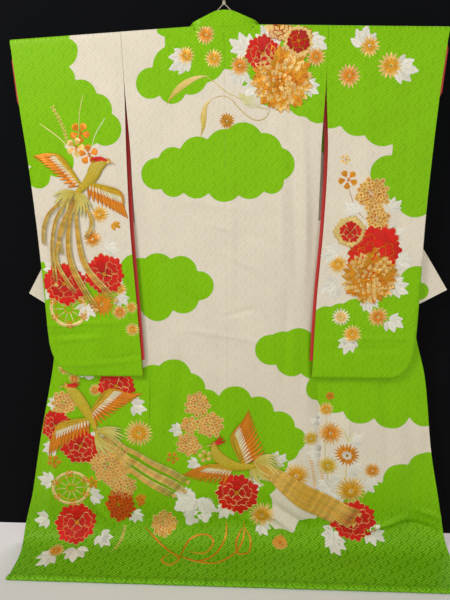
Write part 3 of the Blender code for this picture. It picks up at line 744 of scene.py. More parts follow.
def body_panel(side):
    inset, grids = SEAM / 2, []

    def wind(points, x, s):
        """Points given right-handed for the right side are turned over for the left."""
        if side < 0:
            points, x, s = points[:, ::-1], np.broadcast_to(x, points.shape[:2])[:, ::-1], s
        grids.append((points, x, np.broadcast_to(s, points.shape[:2])))

    top = float(at(SIDE_EDGE, side, 0.0)) - inset
    wide = spread(NECK_ROUND_X, top, SHOULDER_COLS)
    cols = np.concatenate([spread(inset, NECK_ROUND_X, NECK_COLS), wide[1:]])
    share = (cols - inset) / (top - inset)
    s = np.concatenate([[0.0], rows_between(0.02, HEM_S)])[:, None]
    x = side * (inset + share * (at(SIDE_EDGE, side, s) - inset * 2))
    points = hang(x, back_depth(x, s) + pull(x, s) * ramp(0.0, 0.08, s), s)
    points[0] = over_arm(side * cols, 0.0)
    row = np.interp(cols[:NECK_COLS], [line[0] for line in COLLAR_NECK], range(len(COLLAR_NECK)))
    points[0, :NECK_COLS] = neck_seam(side, row)
    points[0, 0, 0] = side * inset
    wind(points[::-1], x[::-1], s[::-1])
    angles = spread(0, math.pi, ARM_STEPS)[:, None]
    rim = neck_seam(side, spread(row[-1], 6.0, ARM_STEPS))
    rim[0] = points[0, NECK_COLS - 1]
    strip = np.stack([rim, over_arm(np.full(ARM_STEPS + 1, side * wide[0]), angles[:, 0])], 1)
    wind(strip, strip[..., 0], -angles * FOLD_R)
    xs = np.broadcast_to(side * wide, (ARM_STEPS + 1, SHOULDER_COLS + 1))
    wind(over_arm(xs, angles), xs, -angles * FOLD_R)
    s = rows_between(0.02, SIDE_SLIT)[:, None]
    s = np.concatenate([[[0.012]], s])
    fold = fold_x(side, s)
    edge = np.maximum(at(SIDE_EDGE, side, s) - inset, fold + 0.008)
    x = side * (fold + (edge - fold) * spread(0, 1, SHOULDER_COLS))
    x[0] = side * wide
    inside = hang(x, FRONT_Y, s)
    inside[0] = over_arm(side * wide, math.pi)
    wind(inside, x, -FOLD_R * math.pi - s)
    s, fold = s[1:], fold[1:]
    far = front_depth(side * fold, s)
    middle, half = (far + FRONT_Y) / 2, (far - FRONT_Y) / 2
    a = spread(math.pi, 0, 6)
    x = side * (fold - 0.004 * np.sin(a))
    wind(hang(x, middle - half * np.cos(a), s), x, s)
    s = rows_between(0.02, HEM_S)[:, None]
    inner = np.where(s <= SIDE_SLIT + 1e-9, fold_x(side, np.minimum(s, SIDE_SLIT)),
                     at(SIDE_EDGE, side, s) + inset)
    outer = seam_x(side, s) - inset
    x = side * (outer + (inner - outer) * spread(0, 1, 34))
    wind(hang(x, front_depth(x, s) + pull(x, s) * ramp(0.6, 0.75, s), s), x, s)
    return grids


BODIES = [
    shell("panel_body_" + word, body_panel(side), BODY_WALL, BODY_CLOUDS) for side, word in SIDES.items()
]
for piece, word in zip(BODIES, SIDES.values()):
    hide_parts("body_" + word)

# ---- Okumi: the overlap panels -----------------------------------------------------------------------
# Half-width strips of the satin sewn to the front edges, lined in red like the body, and slanted at the
# top where the collar crosses them.
OVERLAPS, LININGS = [], []
for side, word in SIDES.items():
    s = rows_between(0.66, HEM_S)[:, None]
    begin = at(OKUMI_SEAM, side, s) + SEAM / 2
    end = np.where(s < 0.861, curve_x(COLLAR_SEAM[side], s) - 0.0022, at(FRONT_EDGE, side, s))
    x = side * (begin + (end - begin) * spread(0, 1, 24))
    points = hang(x, front_depth(x, s) + pull(x, s), s)
    if side > 0:
        points, x = points[:, ::-1], x[:, ::-1]
    piece = shell("overlap_" + word, [(points, x, s)], BODY_WALL, BODY_CLOUDS)
    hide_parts("okumi_" + word)
    OVERLAPS.append(piece)

# ---- Padded hem roll ---------------------------------------------------------------------------------
# The satin of the hem is turned over a roll of silk wadding about 14 mm high and sewn down, so it is
# plump, a little uneven and flat only on its sole.
HEM_PROFILE = (  # y, z from the inner foot out along the sole, up and back over the top
    (0.000, 0.0000), (-0.010, 0.0000), (-0.020, 0.0000), (-0.0245, 0.0022), (-0.0260, 0.0065),
    (-0.0235, 0.0110), (-0.0170, 0.0138), (-0.0090, 0.0132), (-0.0030, 0.0085), (0.000, 0.0030),
)


def padded_hem():
    left, right = -float(at(FRONT_EDGE, -1, HEM_S)), float(at(FRONT_EDGE, 1, HEM_S))
    start_y = -BEND_R - (HEM_S - BEND_S - BEND_R * math.pi / 2) - SEAM
    outline = np.array(HEM_PROFILE)
    t = np.linspace(0, len(outline), 40, endpoint=False)
    key = np.arange(-1, len(outline) + 2)
    loop = outline[key % len(outline)]
    smooth = np.stack([np.interp(t, key, loop[:, k]) for k in range(2)], -1)
    for _ in range(2):
        rounded = (np.roll(smooth, 1, axis=0) + 2 * smooth + np.roll(smooth, -1, axis=0)) / 4
        flat_sole = smooth[:, 1] < 0.0004
        smooth = np.where(flat_sole[:, None], smooth, rounded)
    x = spread(left, right, 300)[:, None]
    plump = 1 + 0.05 * np.sin(x * 31 + 0.8) + 0.035 * np.sin(x * 83 + 2.0) + 0.02 * np.sin(x * 190)
    ends = np.sqrt(np.clip(np.minimum(x - left, right - x) / 0.009, 0.0, 1.0)) * 0.35 + 0.65
    middle = np.array([-0.013, 0.0])
    grow = plump * ends
    y = start_y + middle[0] + (smooth[None, :, 0] - middle[0]) * (0.5 + 0.5 * grow)
    z = FLOOR_Z + smooth[None, :, 1] * grow
    points = np.stack(np.broadcast_arrays(x, y, z), -1)
    girth = np.concatenate([[0], np.cumsum(np.linalg.norm(np.diff(smooth, axis=0), axis=1))])
    sides = smooth.shape[0]
    index = np.arange(len(x) * sides).reshape(-1, sides)
    quads = quads_of(index, closed=True)[:, [0, 3, 2, 1]]
    ends = [index[0].tolist(), index[-1, ::-1].tolist()]
    item = solid("hem_roll_padded", points.reshape(-1, 3).tolist(), quads.tolist() + ends, SATIN)
    mesh = item.data
    flat = np.stack(np.broadcast_arrays(x, HEM_S + girth[None]), -1).reshape(-1, 2)
    corners = np.empty(len(mesh.loops), int)
    mesh.loops.foreach_get("vertex_index", corners)
    mesh.uv_layers.new(name="cloth").data.foreach_set("uv", flat[corners].astype(np.float32).ravel())
    values = np.full(len(flat), 50.0, np.float32)
    mesh.attributes.new("cloud", "FLOAT", "POINT").data.foreach_set("value", values)
    return item


piece = padded_hem()
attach(piece, "root")
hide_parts("hem_roll")

# ---- Sleeves -----------------------------------------------------------------------------------------
# Each a full width of silk folded over the arm, sewn along the foot and up the outer side to the cuff.
# The inner edge stays open, and the red lining rolls out past it and past the cuff.
CUFF_END_S, SLEEVE_FOOT_S, FOOT_DROP, SLEEVE_COLS, ARCH_STEPS = 0.205, 1.085, 0.0032, 46, 12
RED_TOP_S, RED_FOOT_S = 0.045, 1.03
SLEEVE_CREASES = (
    (-0.61, 0.907, -0.36, 0.896, 0.0075, 0.0044),
    (-0.60, 0.943, -0.45, 0.935, 0.0070, -0.0036),
    (-0.58, 0.962, -0.42, 0.948, 0.0070, 0.0040),
    (-0.33, 1.035, -0.56, 1.052, 0.0080, 0.0040),
    (-0.30, 1.012, -0.40, 1.030, 0.0080, -0.0036),
    (-0.33, 0.10, -0.36, 0.60, 0.020, 0.0026),
    (-0.50, 0.20, -0.48, 0.62, 0.022, -0.0026),
    (-0.56, 0.35, -0.60, 0.45, 0.010, 0.0022),
    (-0.62, 0.52, -0.54, 0.55, 0.008, 0.0020),
    (0.33, 0.955, 0.60, 0.948, 0.0070, 0.0036),
    (0.36, 0.990, 0.58, 0.985, 0.0080, -0.0026),
    (0.42, 0.12, 0.44, 0.60, 0.022, 0.0024),
    (0.55, 0.20, 0.54, 0.66, 0.018, -0.0022),
    (0.40, 0.96, 0.38, 1.05, 0.014, 0.0022),
    (0.52, 0.90, 0.56, 1.00, 0.012, -0.0022),
    (0.34, 0.62, 0.33, 0.90, 0.012, -0.0020),
)


SLEEVE_PLEATS = (  # apex x, s, then x of the near and the far foot, s of the feet, height
    (-0.385, 0.872, -0.468, -0.398, 1.050, 0.0030),
    (0.470, 0.900, 0.440, 0.485, 1.060, 0.0022),
)


def gather(x, s):
    """How far the sleeve's creases stand out, with the flat slanting facets left by its storage folds."""
    total = creases(SLEEVE_CREASES, x, s)
    for x0, s0, near, far, s1, high in SLEEVE_PLEATS:
        t = np.clip((s - s0) / (s1 - s0), 0, 1)
        u = (x - x0 - (near - x0) * t) / np.maximum(np.abs(far - near) * t, 0.002)
        inside = 1 - 2 * np.clip(u, 0, 1)
        total = total + high * t * inside * np.exp(-0.9 * (np.maximum(-u, 0) + 2.5 * np.maximum(u - 1, 0)))
    return -total * ramp(0.05, 0.12, s) * (1 - ramp(1.04, SLEEVE_FOOT_S, s))


def sleeve(side):
    grids = []
    s = np.concatenate([[0.03], rows_between(0.036, CUFF_END_S)[:-1],
                        rows_between(CUFF_END_S, SLEEVE_FOOT_S)])[:, None]
    across = spread(0, 1, SLEEVE_COLS)
    inner, outer = at(SLEEVE_INNER, side, s) + SEAM / 2, at(SLEEVE_OUTER, side, s)
    x = side * (inner + (outer - inner) * across)
    inner0, outer0 = float(at(SLEEVE_INNER, side, 0.0)) + SEAM / 2, float(at(SLEEVE_OUTER, side, 0.0))
    top = side * (inner0 + (outer0 - inner0) * across)
    angles = spread(0, math.pi, ARCH_STEPS)[:, None]
    arched = np.broadcast_to(top, (ARCH_STEPS + 1, SLEEVE_COLS + 1))
    lift = gather(x, s)
    out = np.stack([np.zeros_like(lift), lift, np.zeros_like(lift)], -1)
    back, front = sleeve_point(x, s, 0) + out, sleeve_point(x, s, 1)
    arch = over_arm(arched, angles)
    under = (back[-1] + front[-1]) / 2 + np.array([0, 0, -FOOT_DROP])
    rows = [(np.concatenate([back[::-1], arch, front]), np.concatenate([x[::-1], arched, x]),
             np.concatenate([s[::-1], angles * 0, s]))]
    rows.append((np.stack([back[-1], under, front[-1]])[::-1], np.stack([x[-1]] * 3), s[-1]))
    sewn = np.nonzero(s[:, 0] >= CUFF_END_S - 1e-9)[0]
    low = ramp(0.95, SLEEVE_FOOT_S, s[sewn, 0])[:, None]
    b, f = back[sewn, -1], front[sewn, -1]
    middle = (b + f) / 2 + low * [0, 0, -FOOT_DROP] + (1 - low) * [side * 0.003, 0, 0]
    middle[-1] = under[-1]
    rows.append((np.stack([b, middle, f], 1)[::-1], x[sewn, -1][::-1, None], s[sewn][::-1]))
    for points, xs, ss in rows:
        if side < 0:
            points, xs = points[:, ::-1], np.broadcast_to(xs, points.shape[:2])[:, ::-1]
        grids.append((points, xs, np.broadcast_to(ss, points.shape[:2])))
    return grids


SLEEVES = [
    shell("sleeve_outer_" + word, sleeve(side), SLEEVE_WALL, SLEEVE_CLOUDS) for side, word in SIDES.items()
]
for piece, word in zip(SLEEVES, SIDES.values()):
    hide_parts("sleeve_" + word)
for side, word in SIDES.items():
    s = rows_between(RED_TOP_S, RED_FOOT_S)[:, None]
    cuff = 0.012 * ramp(0.02, 0.06, s) * (1 - ramp(0.17, 0.22, s))
    begin = at(SLEEVE_INNER, side, s) + 0.0005 - 0.010 * ramp(0.17, 0.24, s)
    end = at(SLEEVE_OUTER, side, s) - 0.006 * ramp(0.17, 0.22, s) + cuff - 0.03 * ramp(0.90, 0.96, s)
    x = side * (begin + (end - begin) * spread(0, 1, 40))
    points = sleeve_point(x, s, 1)
    points[..., 1] -= SLEEVE_WALL / 2 + SEAM + LINING_WALL / 2
    if side > 0:
        points, x = points[:, ::-1], x[:, ::-1]
    piece = shell("sleeve_red_" + word, [(points[::-1], x[::-1], s[::-1])], LINING_WALL, None, LINING,
                  LINING)
    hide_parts("sleeve_lining_" + word)
    LININGS.append(piece)

# ---- Collar ------------------------------------------------------------------------------------------
# A long stiffened band of the same satin: it stands at the back of the neck, is sewn along the slanted
# fronts with its free edge outward, and stops at two square ends.
COLLAR_TOP_Y = 0.0195  # the band's depth where it leaves the shoulders


def collar():
    whole, flat_x, flat_s = [], [], []
    for side in (-1, 1):
        across = spread(0, 1, 14)[None, :, None]
        table = np.array(COLLAR_NECK)
        key = np.arange(len(table))
        fine = spread(0, len(table) - 1, 42)
        row = np.stack([np.interp(fine, key, table[:, k]) for k in range(6)], -1)
        for k in range(6):  # soften the corners of the neck's path
            row[1:-1, k] = (row[:-2, k] + 2 * row[1:-1, k] + row[2:, k]) / 4
        seam = np.stack([side * row[:, 0], row[:, 1], SHOULDER_Z + row[:, 2]], -1)[:, None]
        free = np.stack([side * row[:, 3], row[:, 4], SHOULDER_Z + row[:, 5]], -1)[:, None]
        neck = seam + (free - seam) * across
        t = spread(0.0, 1.0, 150)[:, None]
        lines = [arc(points, t) for points in (COLLAR_SEAM[side], COLLAR_FREE[side])]
        place = lines[0][:, None] + (lines[1] - lines[0])[:, None] * across
        x, h = side * place[..., 0], place[..., 1]
        step = 0.0006 * (across[..., 0] > 0)
        deep = np.maximum(front_depth(x, np.maximum(-h, 0.03)) + step, 0.0115)
        blend = ramp(0.24, 0.36, t)
        y = COLLAR_TOP_Y * (1 - blend) + deep * blend
        z = SHOULDER_Z + h - np.abs(x) * DROOP * (1 - ramp(0.2, 1.2, -h))
        front = np.stack([x, y, z], -1)
        half = np.concatenate([neck, front[1:]])
        fx = np.concatenate([neck[..., 0], x[1:]])
        fs = np.concatenate([SHOULDER_Z - neck[..., 2], -h[1:]])
        if side < 0:
            whole.append(half[::-1]), flat_x.append(fx[::-1]), flat_s.append(fs[::-1])
        else:
            whole.append(half[1:]), flat_x.append(fx[1:]), flat_s.append(fs[1:])
    return [(np.concatenate(whole)[:, ::-1], np.concatenate(flat_x)[:, ::-1],
             np.concatenate(flat_s)[:, ::-1])]


COLLAR_CLOUDS = {"lobes": ((0, -2, 20), (62, 79, 3)), "boxes": ((-49.5, 53.5, -10, 72),)}
COLLAR = shell("collar_band", collar(), COLLAR_WALL, COLLAR_CLOUDS)
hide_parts("collar")

# ---- Embroidery --------------------------------------------------------------------------------------
# Padded satin stitch in silk and couched gold thread, worked over the satin before the kimono is sewn.
# A patch of stitching is a small closed relief: rows along the thread's path, columns across it.
RIM, EDGE_MARGIN = -0.0003, 0.003  # how deep a patch's rim sinks in, and the bare cloth along an edge
TONES = {
    "red": "D81602", "wine": "AC0C02", "gold": "DE9C1E", "pale": "F2D488", "orange": "D87410",
    "white": "E6E0D0", "leaf": "8FA05A", "brass": "C2AA24", "lime": "D8D280", "dark": "9A6414",
    "amber": "E08A18",
}
TONES = {key: np.array(rgb(code)) for key, code in TONES.items()}
BROAD_PATCH, THIN_PATCH = 0.025, 0.0008
SILK, GOLD = 0, 1  # slots in THREADS
rng = np.random.default_rng(11)


def curve(points, count):
    """A smooth path through the points."""
    p = np.asarray(points, float)
    p = np.concatenate([[2 * p[0] - p[1]], p, [2 * p[-1] - p[-2]]])
    t = np.linspace(0, len(p) - 3 - 1e-9, count)
    i = t.astype(int)
    f = (t - i)[:, None]
    a, b, c, d = p[i], p[i + 1], p[i + 2], p[i + 3]
    return 0.5 * (2 * b + (c - a) * f + (2 * a - 5 * b + 4 * c - d) * f**2 + (3 * b - a - 3 * c + d) * f**3)


def blade(work, path, half, height, z, tone, tip, kind=SILK, thin=False):
    """Stitching along a path of (x, s) in metres, its colour passing from tone to tip, its rims darkened as
    painted shade.
    """
    path = np.asarray(path, float)
    count = len(path)
    way = np.gradient(path, axis=0)
    way /= np.maximum(np.linalg.norm(way, axis=1, keepdims=True), 1e-9)
    off = np.stack([-way[:, 1], way[:, 0]], -1)
    v = np.array([-1, 0, 1.0]) if thin else np.array([-1, -0.75, 0, 0.75, 1.0])
    half = np.broadcast_to(np.asarray(half, float), (count,))
    place = path[:, None] + off[:, None] * (half[:, None] * v)[..., None]
    lift = z + height * (1 - 0.5 * v**2) * np.ones((count, 1))
    lift[:, 0] = lift[:, -1] = lift[0] = lift[-1] = max(RIM, z - 0.0016)
    t = np.linspace(0, 1, count)[:, None, None]
    hue = TONES[tone] * (1 - t) + TONES[tip] * t
    # painted shade: the rim columns are 30 percent darker, thin cords 5 percent
    hue = hue * (1 - (0.05 if thin else 0.3) * (np.abs(v) > 0.9))[None, :, None] * rng.uniform(0.88, 1.1)
    run = np.concatenate([[0], np.cumsum(np.linalg.norm(np.diff(path, axis=0), axis=1))])
    work.append((place[..., 0], place[..., 1], lift, hue, half[:, None] * v, run[:, None] + 0 * v, kind))


def fan(work, x, s, turn, inner, outer, width, height, z, base, lip, kind=SILK, line=None, wave=0.06,
        cols=6):
    """A broad petal with a waved lip; line is the colour of the gold cord couched round it."""
    a = np.linspace(-1, 1, cols + 1)
    r = np.array([0, 0.35, 0.7, 0.93, 1.0])[:, None]
    reach = outer * (1 - 0.20 * a**2 + wave * np.cos(a * 3 * math.pi))
    radius = inner + (reach - inner) * r
    theta = turn + a * width * (0.5 + 0.5 * np.sqrt(r))
    px, ps = x + radius * np.cos(theta), s + radius * np.sin(theta)
    lift = z + height * (0.3 + 0.7 * r) * (1 - 0.35 * a**2)
    lift[:, 0] = lift[:, -1] = lift[0] = lift[-1] = RIM
    t = r[..., None] * np.ones((1, cols + 1, 1))
    hue = (TONES[base] * (1 - t) + TONES[lip] * t) * rng.uniform(0.85, 1.1)
    work.append((px, ps, lift, hue, radius * a, radius + 0 * a, kind))
    if line:
        edge = np.stack([np.concatenate([px[1:-1, 0], px[-1], px[1:-1, -1][::-1]]),
                         np.concatenate([ps[1:-1, 0], ps[-1], ps[1:-1, -1][::-1]])], -1)
        blade(work, curve(edge, 16), 0.0011, 0.0007, z + height * 0.8, line, line, GOLD, thin=True)


def petal(work, x, s, turn, start, end, width, height, z, tone, tip, kind=SILK, rows=6, blunt=0.6):
    t = np.linspace(0, 1, rows)
    radius = start + (end - start) * t
    path = np.stack([x + radius * math.cos(turn), s + radius * math.sin(turn)], -1)
    half = width * np.maximum(np.sin(np.pi * (0.06 + 0.90 * t**blunt)), 0.05)
    blade(work, path, half, height, z, tone, tip, kind)


def mum(work, x, s, r, z, tone="orange", tip="pale", count=16):
    for k in range(count):
        turn = 2 * math.pi * k / count + rng.uniform(-0.05, 0.05)
        petal(work, x, s, turn, 0.22 * r, r * rng.uniform(0.95, 1.05), 2.3 * r / count, 0.0007, z, tone,
              tip, GOLD, 5)
    for k in range(count * 5 // 8):
        turn = 2 * math.pi * (k + 0.3) / (count * 5 // 8)
        petal(work, x, s, turn, 0.08 * r, 0.58 * r, 0.15 * r, 0.0006, z + 0.0007, tone, "gold", GOLD, 5)
    fan(work, x, s, 0.4, 0.0005, 0.17 * r, 3.0, 0.0008, z + 0.0012, "dark", "pale", GOLD, wave=0)


def floret(work, x, s, r, turn, z, tone, tip, lobes=5, kind=GOLD, heart="dark"):
    """One small flower in a single round patch with a lobed edge, and a knot at its middle."""
    cols = lobes * 3
    a = np.linspace(0, 2 * math.pi, cols + 1)
    radius = np.array([0.12, 0.62, 0.92, 1.0])[:, None] * (1 + 0.17 * np.cos(lobes * a)) * r
    px, ps = x + radius * np.cos(a + turn), s + radius * np.sin(a + turn)
    lift = z + 0.0008 * np.array([0.2, 1.0, 0.8, 0])[:, None] * (1 + 0.3 * np.cos(lobes * a))
    lift[-1] = RIM
    t = np.array([0, 0.6, 1, 1])[:, None, None] * np.ones((1, cols + 1, 1))
    hue = (TONES[tone] * (1 - t) + TONES[tip] * t) * rng.uniform(0.85, 1.1)
    lift[0] = RIM
    work.append((px, ps, lift, hue, radius * a, radius + 0 * a, kind))
    fan(work, x, s, 0.2, 0.0003, 0.26 * r, 3.0, 0.0004, z + 0.0006, heart, heart, GOLD, wave=0, cols=5)


def blossom(work, x, s, r, turn, z, tone="gold", tip="pale", kind=GOLD):
    for k in range(5):
        fan(work, x, s, turn + k * 1.2566, 0.16 * r, r, 0.60, 0.0006, z, tone, tip, kind, wave=0.04, cols=4)
    fan(work, x, s, 0.2, 0.0004, 0.24 * r, 3.0, 0.0006, z + 0.0006, "dark", "orange", GOLD, wave=0, cols=5)


def cluster(work, x, s, r, z, size=0.0088, tones=("gold", "orange", "gold"), tip="pale", tall=1.0):
    """A ball of small blossoms over a padded ground."""
    ground = []
    floret(ground, 0, 0, r * 0.88, 0.3, 0.0002, tones[1], tones[2], 9, heart=tones[1])
    for px, ps, lift, *rest in ground:
        work.append((x + px, s + ps * tall, lift, *rest))
    count = max(5, int((r / size) ** 2 * 0.92 * tall))
    for k in range(count):
        d, a = r * math.sqrt((k + 0.5) / count) * 0.96, k * 2.39996
        floret(work, x + d * math.cos(a), s + d * math.sin(a) * tall, size * rng.uniform(0.85, 1.1), a,
               z + 0.0012 * (1 - (d / r) ** 2), tones[k % 3], tip, heart=tones[k % 2])


def leaves(work, x, s, r, turn, z=0.0, tone="white", count=5, wide=0.30):
    """A spray of toothed leaves with green veins, centred on x and s."""
    r *= 1.15
    x, s = x - 0.45 * r * math.cos(turn), s - 0.45 * r * math.sin(turn)
    for k in range(count):
        a = turn + (k - (count - 1) / 2) * 0.60
        length = r * (1.0, 0.86, 0.70, 0.6)[min(3, int(abs(k - (count - 1) / 2) + 0.5))]
        t = np.linspace(0, 1, 13)
        bend = rng.uniform(-0.10, 0.10) * length
        along, side = 0.04 * r + t * length, bend * np.sin(math.pi * t)
        path = np.stack([x + along * math.cos(a) - side * math.sin(a),
                         s + along * math.sin(a) + side * math.cos(a)], -1)
        teeth = 1 + 0.16 * np.where(np.arange(13) % 2, 1, -1)
        half = wide * length * np.sin(math.pi * (0.05 + 0.93 * t**0.8)) * teeth
        blade(work, path, np.maximum(half, 0.0004), 0.0006, z, tone, tone)
        blade(work, path[1:-2], 0.0008, 0.0004, z + 0.0005, "leaf", "leaf", thin=True)


def peony(work, x, s, r, turn, z=0.0, base="wine", lip="red", line="pale", heart="gold", rim=None):
    """Broad notched petals in three rings; gold is couched round the nearer ones."""
    for ring, (reach, count, width) in enumerate(((1.0, 7, 0.54), (0.72, 5, 0.72), (0.42, 4, 0.86))):
        for k in range(count):
            a = turn + ring * 0.5 + 2 * math.pi * k / count
            edge = line if (k + ring) % 2 or math.sin(a) > 0.3 else None
            fan(work, x, s, a, 0.05 * r, reach * r * rng.uniform(0.92, 1.07), width, 0.0016,
                z + 0.0009 * ring, rim or lip if ring == 0 else base,
                (rim and "pale") or lip if ring == 0 else lip,
                SILK, edge, wave=0.085, cols=9)
    for k in range(7):
        a = turn + k * 0.9
        petal(work, x, s, a, 0.0, 0.13 * r, 0.045 * r, 0.0005, z + 0.0036, "orange", heart, GOLD, 4)


def gold_peony(work, x, s, r, turn, z=0.0):
    """A full round flower of many small ruffled gold petals."""
    floret(work, x, s, r * 0.93, turn, z - 0.0004, "amber", "gold", 9, heart="amber")
    for ring in range(10):
        reach = 1.0 - 0.098 * ring
        count = max(4, round(27 * reach))
        for k in range(count):
            a = turn + ring * 0.41 + 2 * math.pi * k / count + rng.uniform(-0.08, 0.08)
            tone = ("orange", "amber", "gold", "amber")[(k * 3 + ring) % 4]
            tip = ("pale", "gold", "pale", "amber", "pale")[(k * 2 + ring) % 5]
            fan(work, x, s, a, max(0.01, reach - 0.17) * r, reach * r * rng.uniform(0.93, 1.05),
                3.7 / count,
                0.0012, z + 0.00025 * ring, tone, tip, GOLD, wave=0.05, cols=4)


def ribbon(work, points, wide, z, tone="gold", tip="pale", kind=GOLD, ends=(0.2, 0.2), swell=False):
    points = np.asarray(points, float) / 100
    count = max(8, int(np.linalg.norm(np.diff(points, axis=0), axis=1).sum() / 0.008))
    t = np.linspace(0, 1, count)
    half = wide * np.minimum(1, np.minimum(ends[0] + t * 6, ends[1] + (1 - t) * 6))
    if swell:
        half = wide * np.maximum(np.sin(math.pi * t) ** 1.3, 0.07)
    blade(work, curve(points, count), half, 0.0006, z, tone, tip, kind, thin=wide < 0.0025)


def feather(work, root, tip, wide, bow, z, tone, end, kind=SILK):
    root, tip = np.asarray(root, float) / 100, np.asarray(tip, float) / 100
    t = np.linspace(0, 1, 9)[:, None]
    d = tip - root
    path = root + d * t + np.array([-d[1], d[0]]) * bow * np.sin(math.pi * t)
    half = wide * np.maximum(np.sin(math.pi * (0.10 + 0.84 * t[:, 0] ** 0.75)), 0.08)
    blade(work, path, half, 0.0007, z, tone, end, kind)
    blade(work, path[:-1], 0.0005, 0.0004, z + 0.0006, "pale", "pale", GOLD, thin=True)


def wing(work, shoulder, elbow, tip, rear, count, z, wide=0.0072, tones=("orange", "amber")):
    """Long feathers hang from the leading edge, under a pale comb and the gold bow of the wing."""
    shoulder, elbow, tip, rear = (np.asarray(p, float) for p in (shoulder, elbow, tip, rear))
    for layer, reach in enumerate((1.0, 0.50, 0.20)):
        for k in range(count):
            f = k / (count - 1)
            root = shoulder + (elbow - shoulder) * (1 - f)
            end = tip + (rear - tip) * f + (elbow - shoulder) * 0.14 * math.sin(math.pi * f)
            first, last = (tones, ("lime", "white"), ("brass", "gold"))[layer]
            feather(work, root, root + (end - root) * reach, wide * (1, 0.62, 0.8)[layer], 0.05,
                    z + 0.0007 * layer, first, last, (GOLD, SILK, GOLD)[layer])
    ribbon(work, [shoulder, elbow, elbow + (tip - elbow) * 0.55], 0.0036, z + 0.0022, "brass", "amber")


def streamer(work, points, wide, z, tone="brass", tip="lime", strands=3, eye=None):
    """A long tail plume: silk bands edged with pale cord that part toward the end, and at times an eye."""
    points = np.asarray(points, float)
    way = points[-1] - points[0]
    off = np.array([-way[1], way[0]]) / np.hypot(*way)
    parting = 1 + 0.3 * (strands > 3)
    for k in range(strands):
        hand = (k - (strands - 1) / 2) / max(1, (strands - 1) / 2)
        drift = np.linspace(0.20, 1.0, len(points))[:, None] * hand * off * wide / 0.0034 * parting
        hue = ((tone, tip), ("gold", tone), (tone, "gold"))[k % 3]
        ribbon(work, points + drift, wide * 0.68, z + 0.0002 * (k % 3), *hue, kind=SILK)
        for lip in (-0.068, 0.068):
            ribbon(work, points + drift + off * wide / 0.001 * lip, 0.0009, z + 0.0009, "pale", "pale")
    if eye:
        x, s = points[-1] / 100
        a = math.atan2(*(points[-1] - points[-2])[::-1])
        for hand in (-0.7, -0.35, 0.0, 0.35, 0.7):
            petal(work, x, s, a + hand, -0.004, eye * 1.7, 0.0030, 0.0005, z, "gold", "pale", GOLD, 5)


def rump(work, x, s, turn, reach, z, count=15, width=1.9):
    """Short soft feathers fanned over the roots of the tail."""
    for k in range(count):
        f = k / (count - 1) - 0.5
        a = turn + f * width
        length = reach * (1 - 0.9 * f * f) * (0.8, 1.0, 0.9)[k % 3]
        feather(work, (x, s), (x + length * math.cos(a), s + length * math.sin(a)), 0.0052,
                0.12 * (1 if f > 0 else -1),
                z + 0.0004 * (k % 2), "brass", "lime")


def bird_body(work, points, wide, z, crest=None, beak=None):
    """Neck, breast and back in overlapping scale stitches along a path from head to tail."""
    path = curve(np.asarray(points, float) / 100, 15)
    t = np.linspace(0, 1, 15)
    half = wide * (0.34 + 0.75 * np.sin(math.pi * np.clip(t, 0, 1) ** 0.85) ** 1.2)
    blade(work, path, half, 0.0022, z, "brass", "brass")
    way = np.gradient(path, axis=0)
    for k in range(2, 14):
        a = math.atan2(way[k, 1], way[k, 0])
        side = np.array([-math.sin(a), math.cos(a)])
        for hand in (-0.45, 0.0, 0.45):
            x, s = path[k] + side * half[k] * hand
            petal(work, x, s, a, -0.004, 0.006, 0.0026, 0.0005, z + 0.0022, "brass",
                  ("lime", "gold")[k > 7], GOLD, 4)
    x, s = path[0]
    fan(work, x, s, 0, 0.0004, wide * 0.48, 3.0, 0.0016, z + 0.0014, "pale", "gold", GOLD, wave=0)
    if crest:
        for k, (dx, ds) in enumerate(crest):
            feather(work, (x * 100, s * 100), (x * 100 + dx, s * 100 + ds), 0.0042, 0.1, z + 0.0016, "red",
                    "red")
    if beak:
        feather(work, (x * 100, s * 100), (x * 100 + beak[0], s * 100 + beak[1]), 0.0026, 0, z + 0.002,
                "gold", "pale", GOLD)


def wheel(work, x, s, r, z):
    """A flower cart's wheel: a broad pale rim with blossoms on it, a thin inner rim and spokes."""
    for share, wide, tone in ((0.93, 0.0062, "pale"), (0.70, 0.0016, "gold"), (0.22, 0.0024, "gold")):
        a = np.linspace(0, 2 * math.pi * 0.995, 44)
        path = np.stack([x + r * share * np.cos(a), s + r * share * np.sin(a)], -1)
        blade(work, path, wide, 0.0010, z, tone, tone, GOLD, thin=wide < 0.0025)
    for k in range(10):
        petal(work, x, s, k * math.pi / 5, 0.16 * r, 0.90 * r, 0.0024, 0.0006, z, "lime", "pale", GOLD, 5)
    for k in range(6):
        a = k * math.pi / 3 + 0.5
        blossom(work, x + 0.90 * r * math.cos(a), s + 0.90 * r * math.sin(a), 0.0125, a, z + 0.0012,
                "orange", "gold")


def ear(work, x, s, tip_x, tip_s, z, count=10, tone="pale"):
    """A grass ear: a thin stalk with grains in pairs."""
    path = curve([(x, s), ((x + tip_x) / 2 + 0.8, (s + tip_s) / 2), (tip_x, tip_s)], count + 2) / 100
    blade(work, path, 0.0009, 0.0005, z, "lime", "pale", thin=True)
    way = np.gradient(path, axis=0)
    for k in range(2, count + 1):
        a = math.atan2(way[k, 1], way[k, 0])
        for hand in (-0.5, 0.5):
            petal(work, *path[k], a + hand, 0.001, 0.013, 0.0022, 0.0005, z, "orange", tone, GOLD, 4)


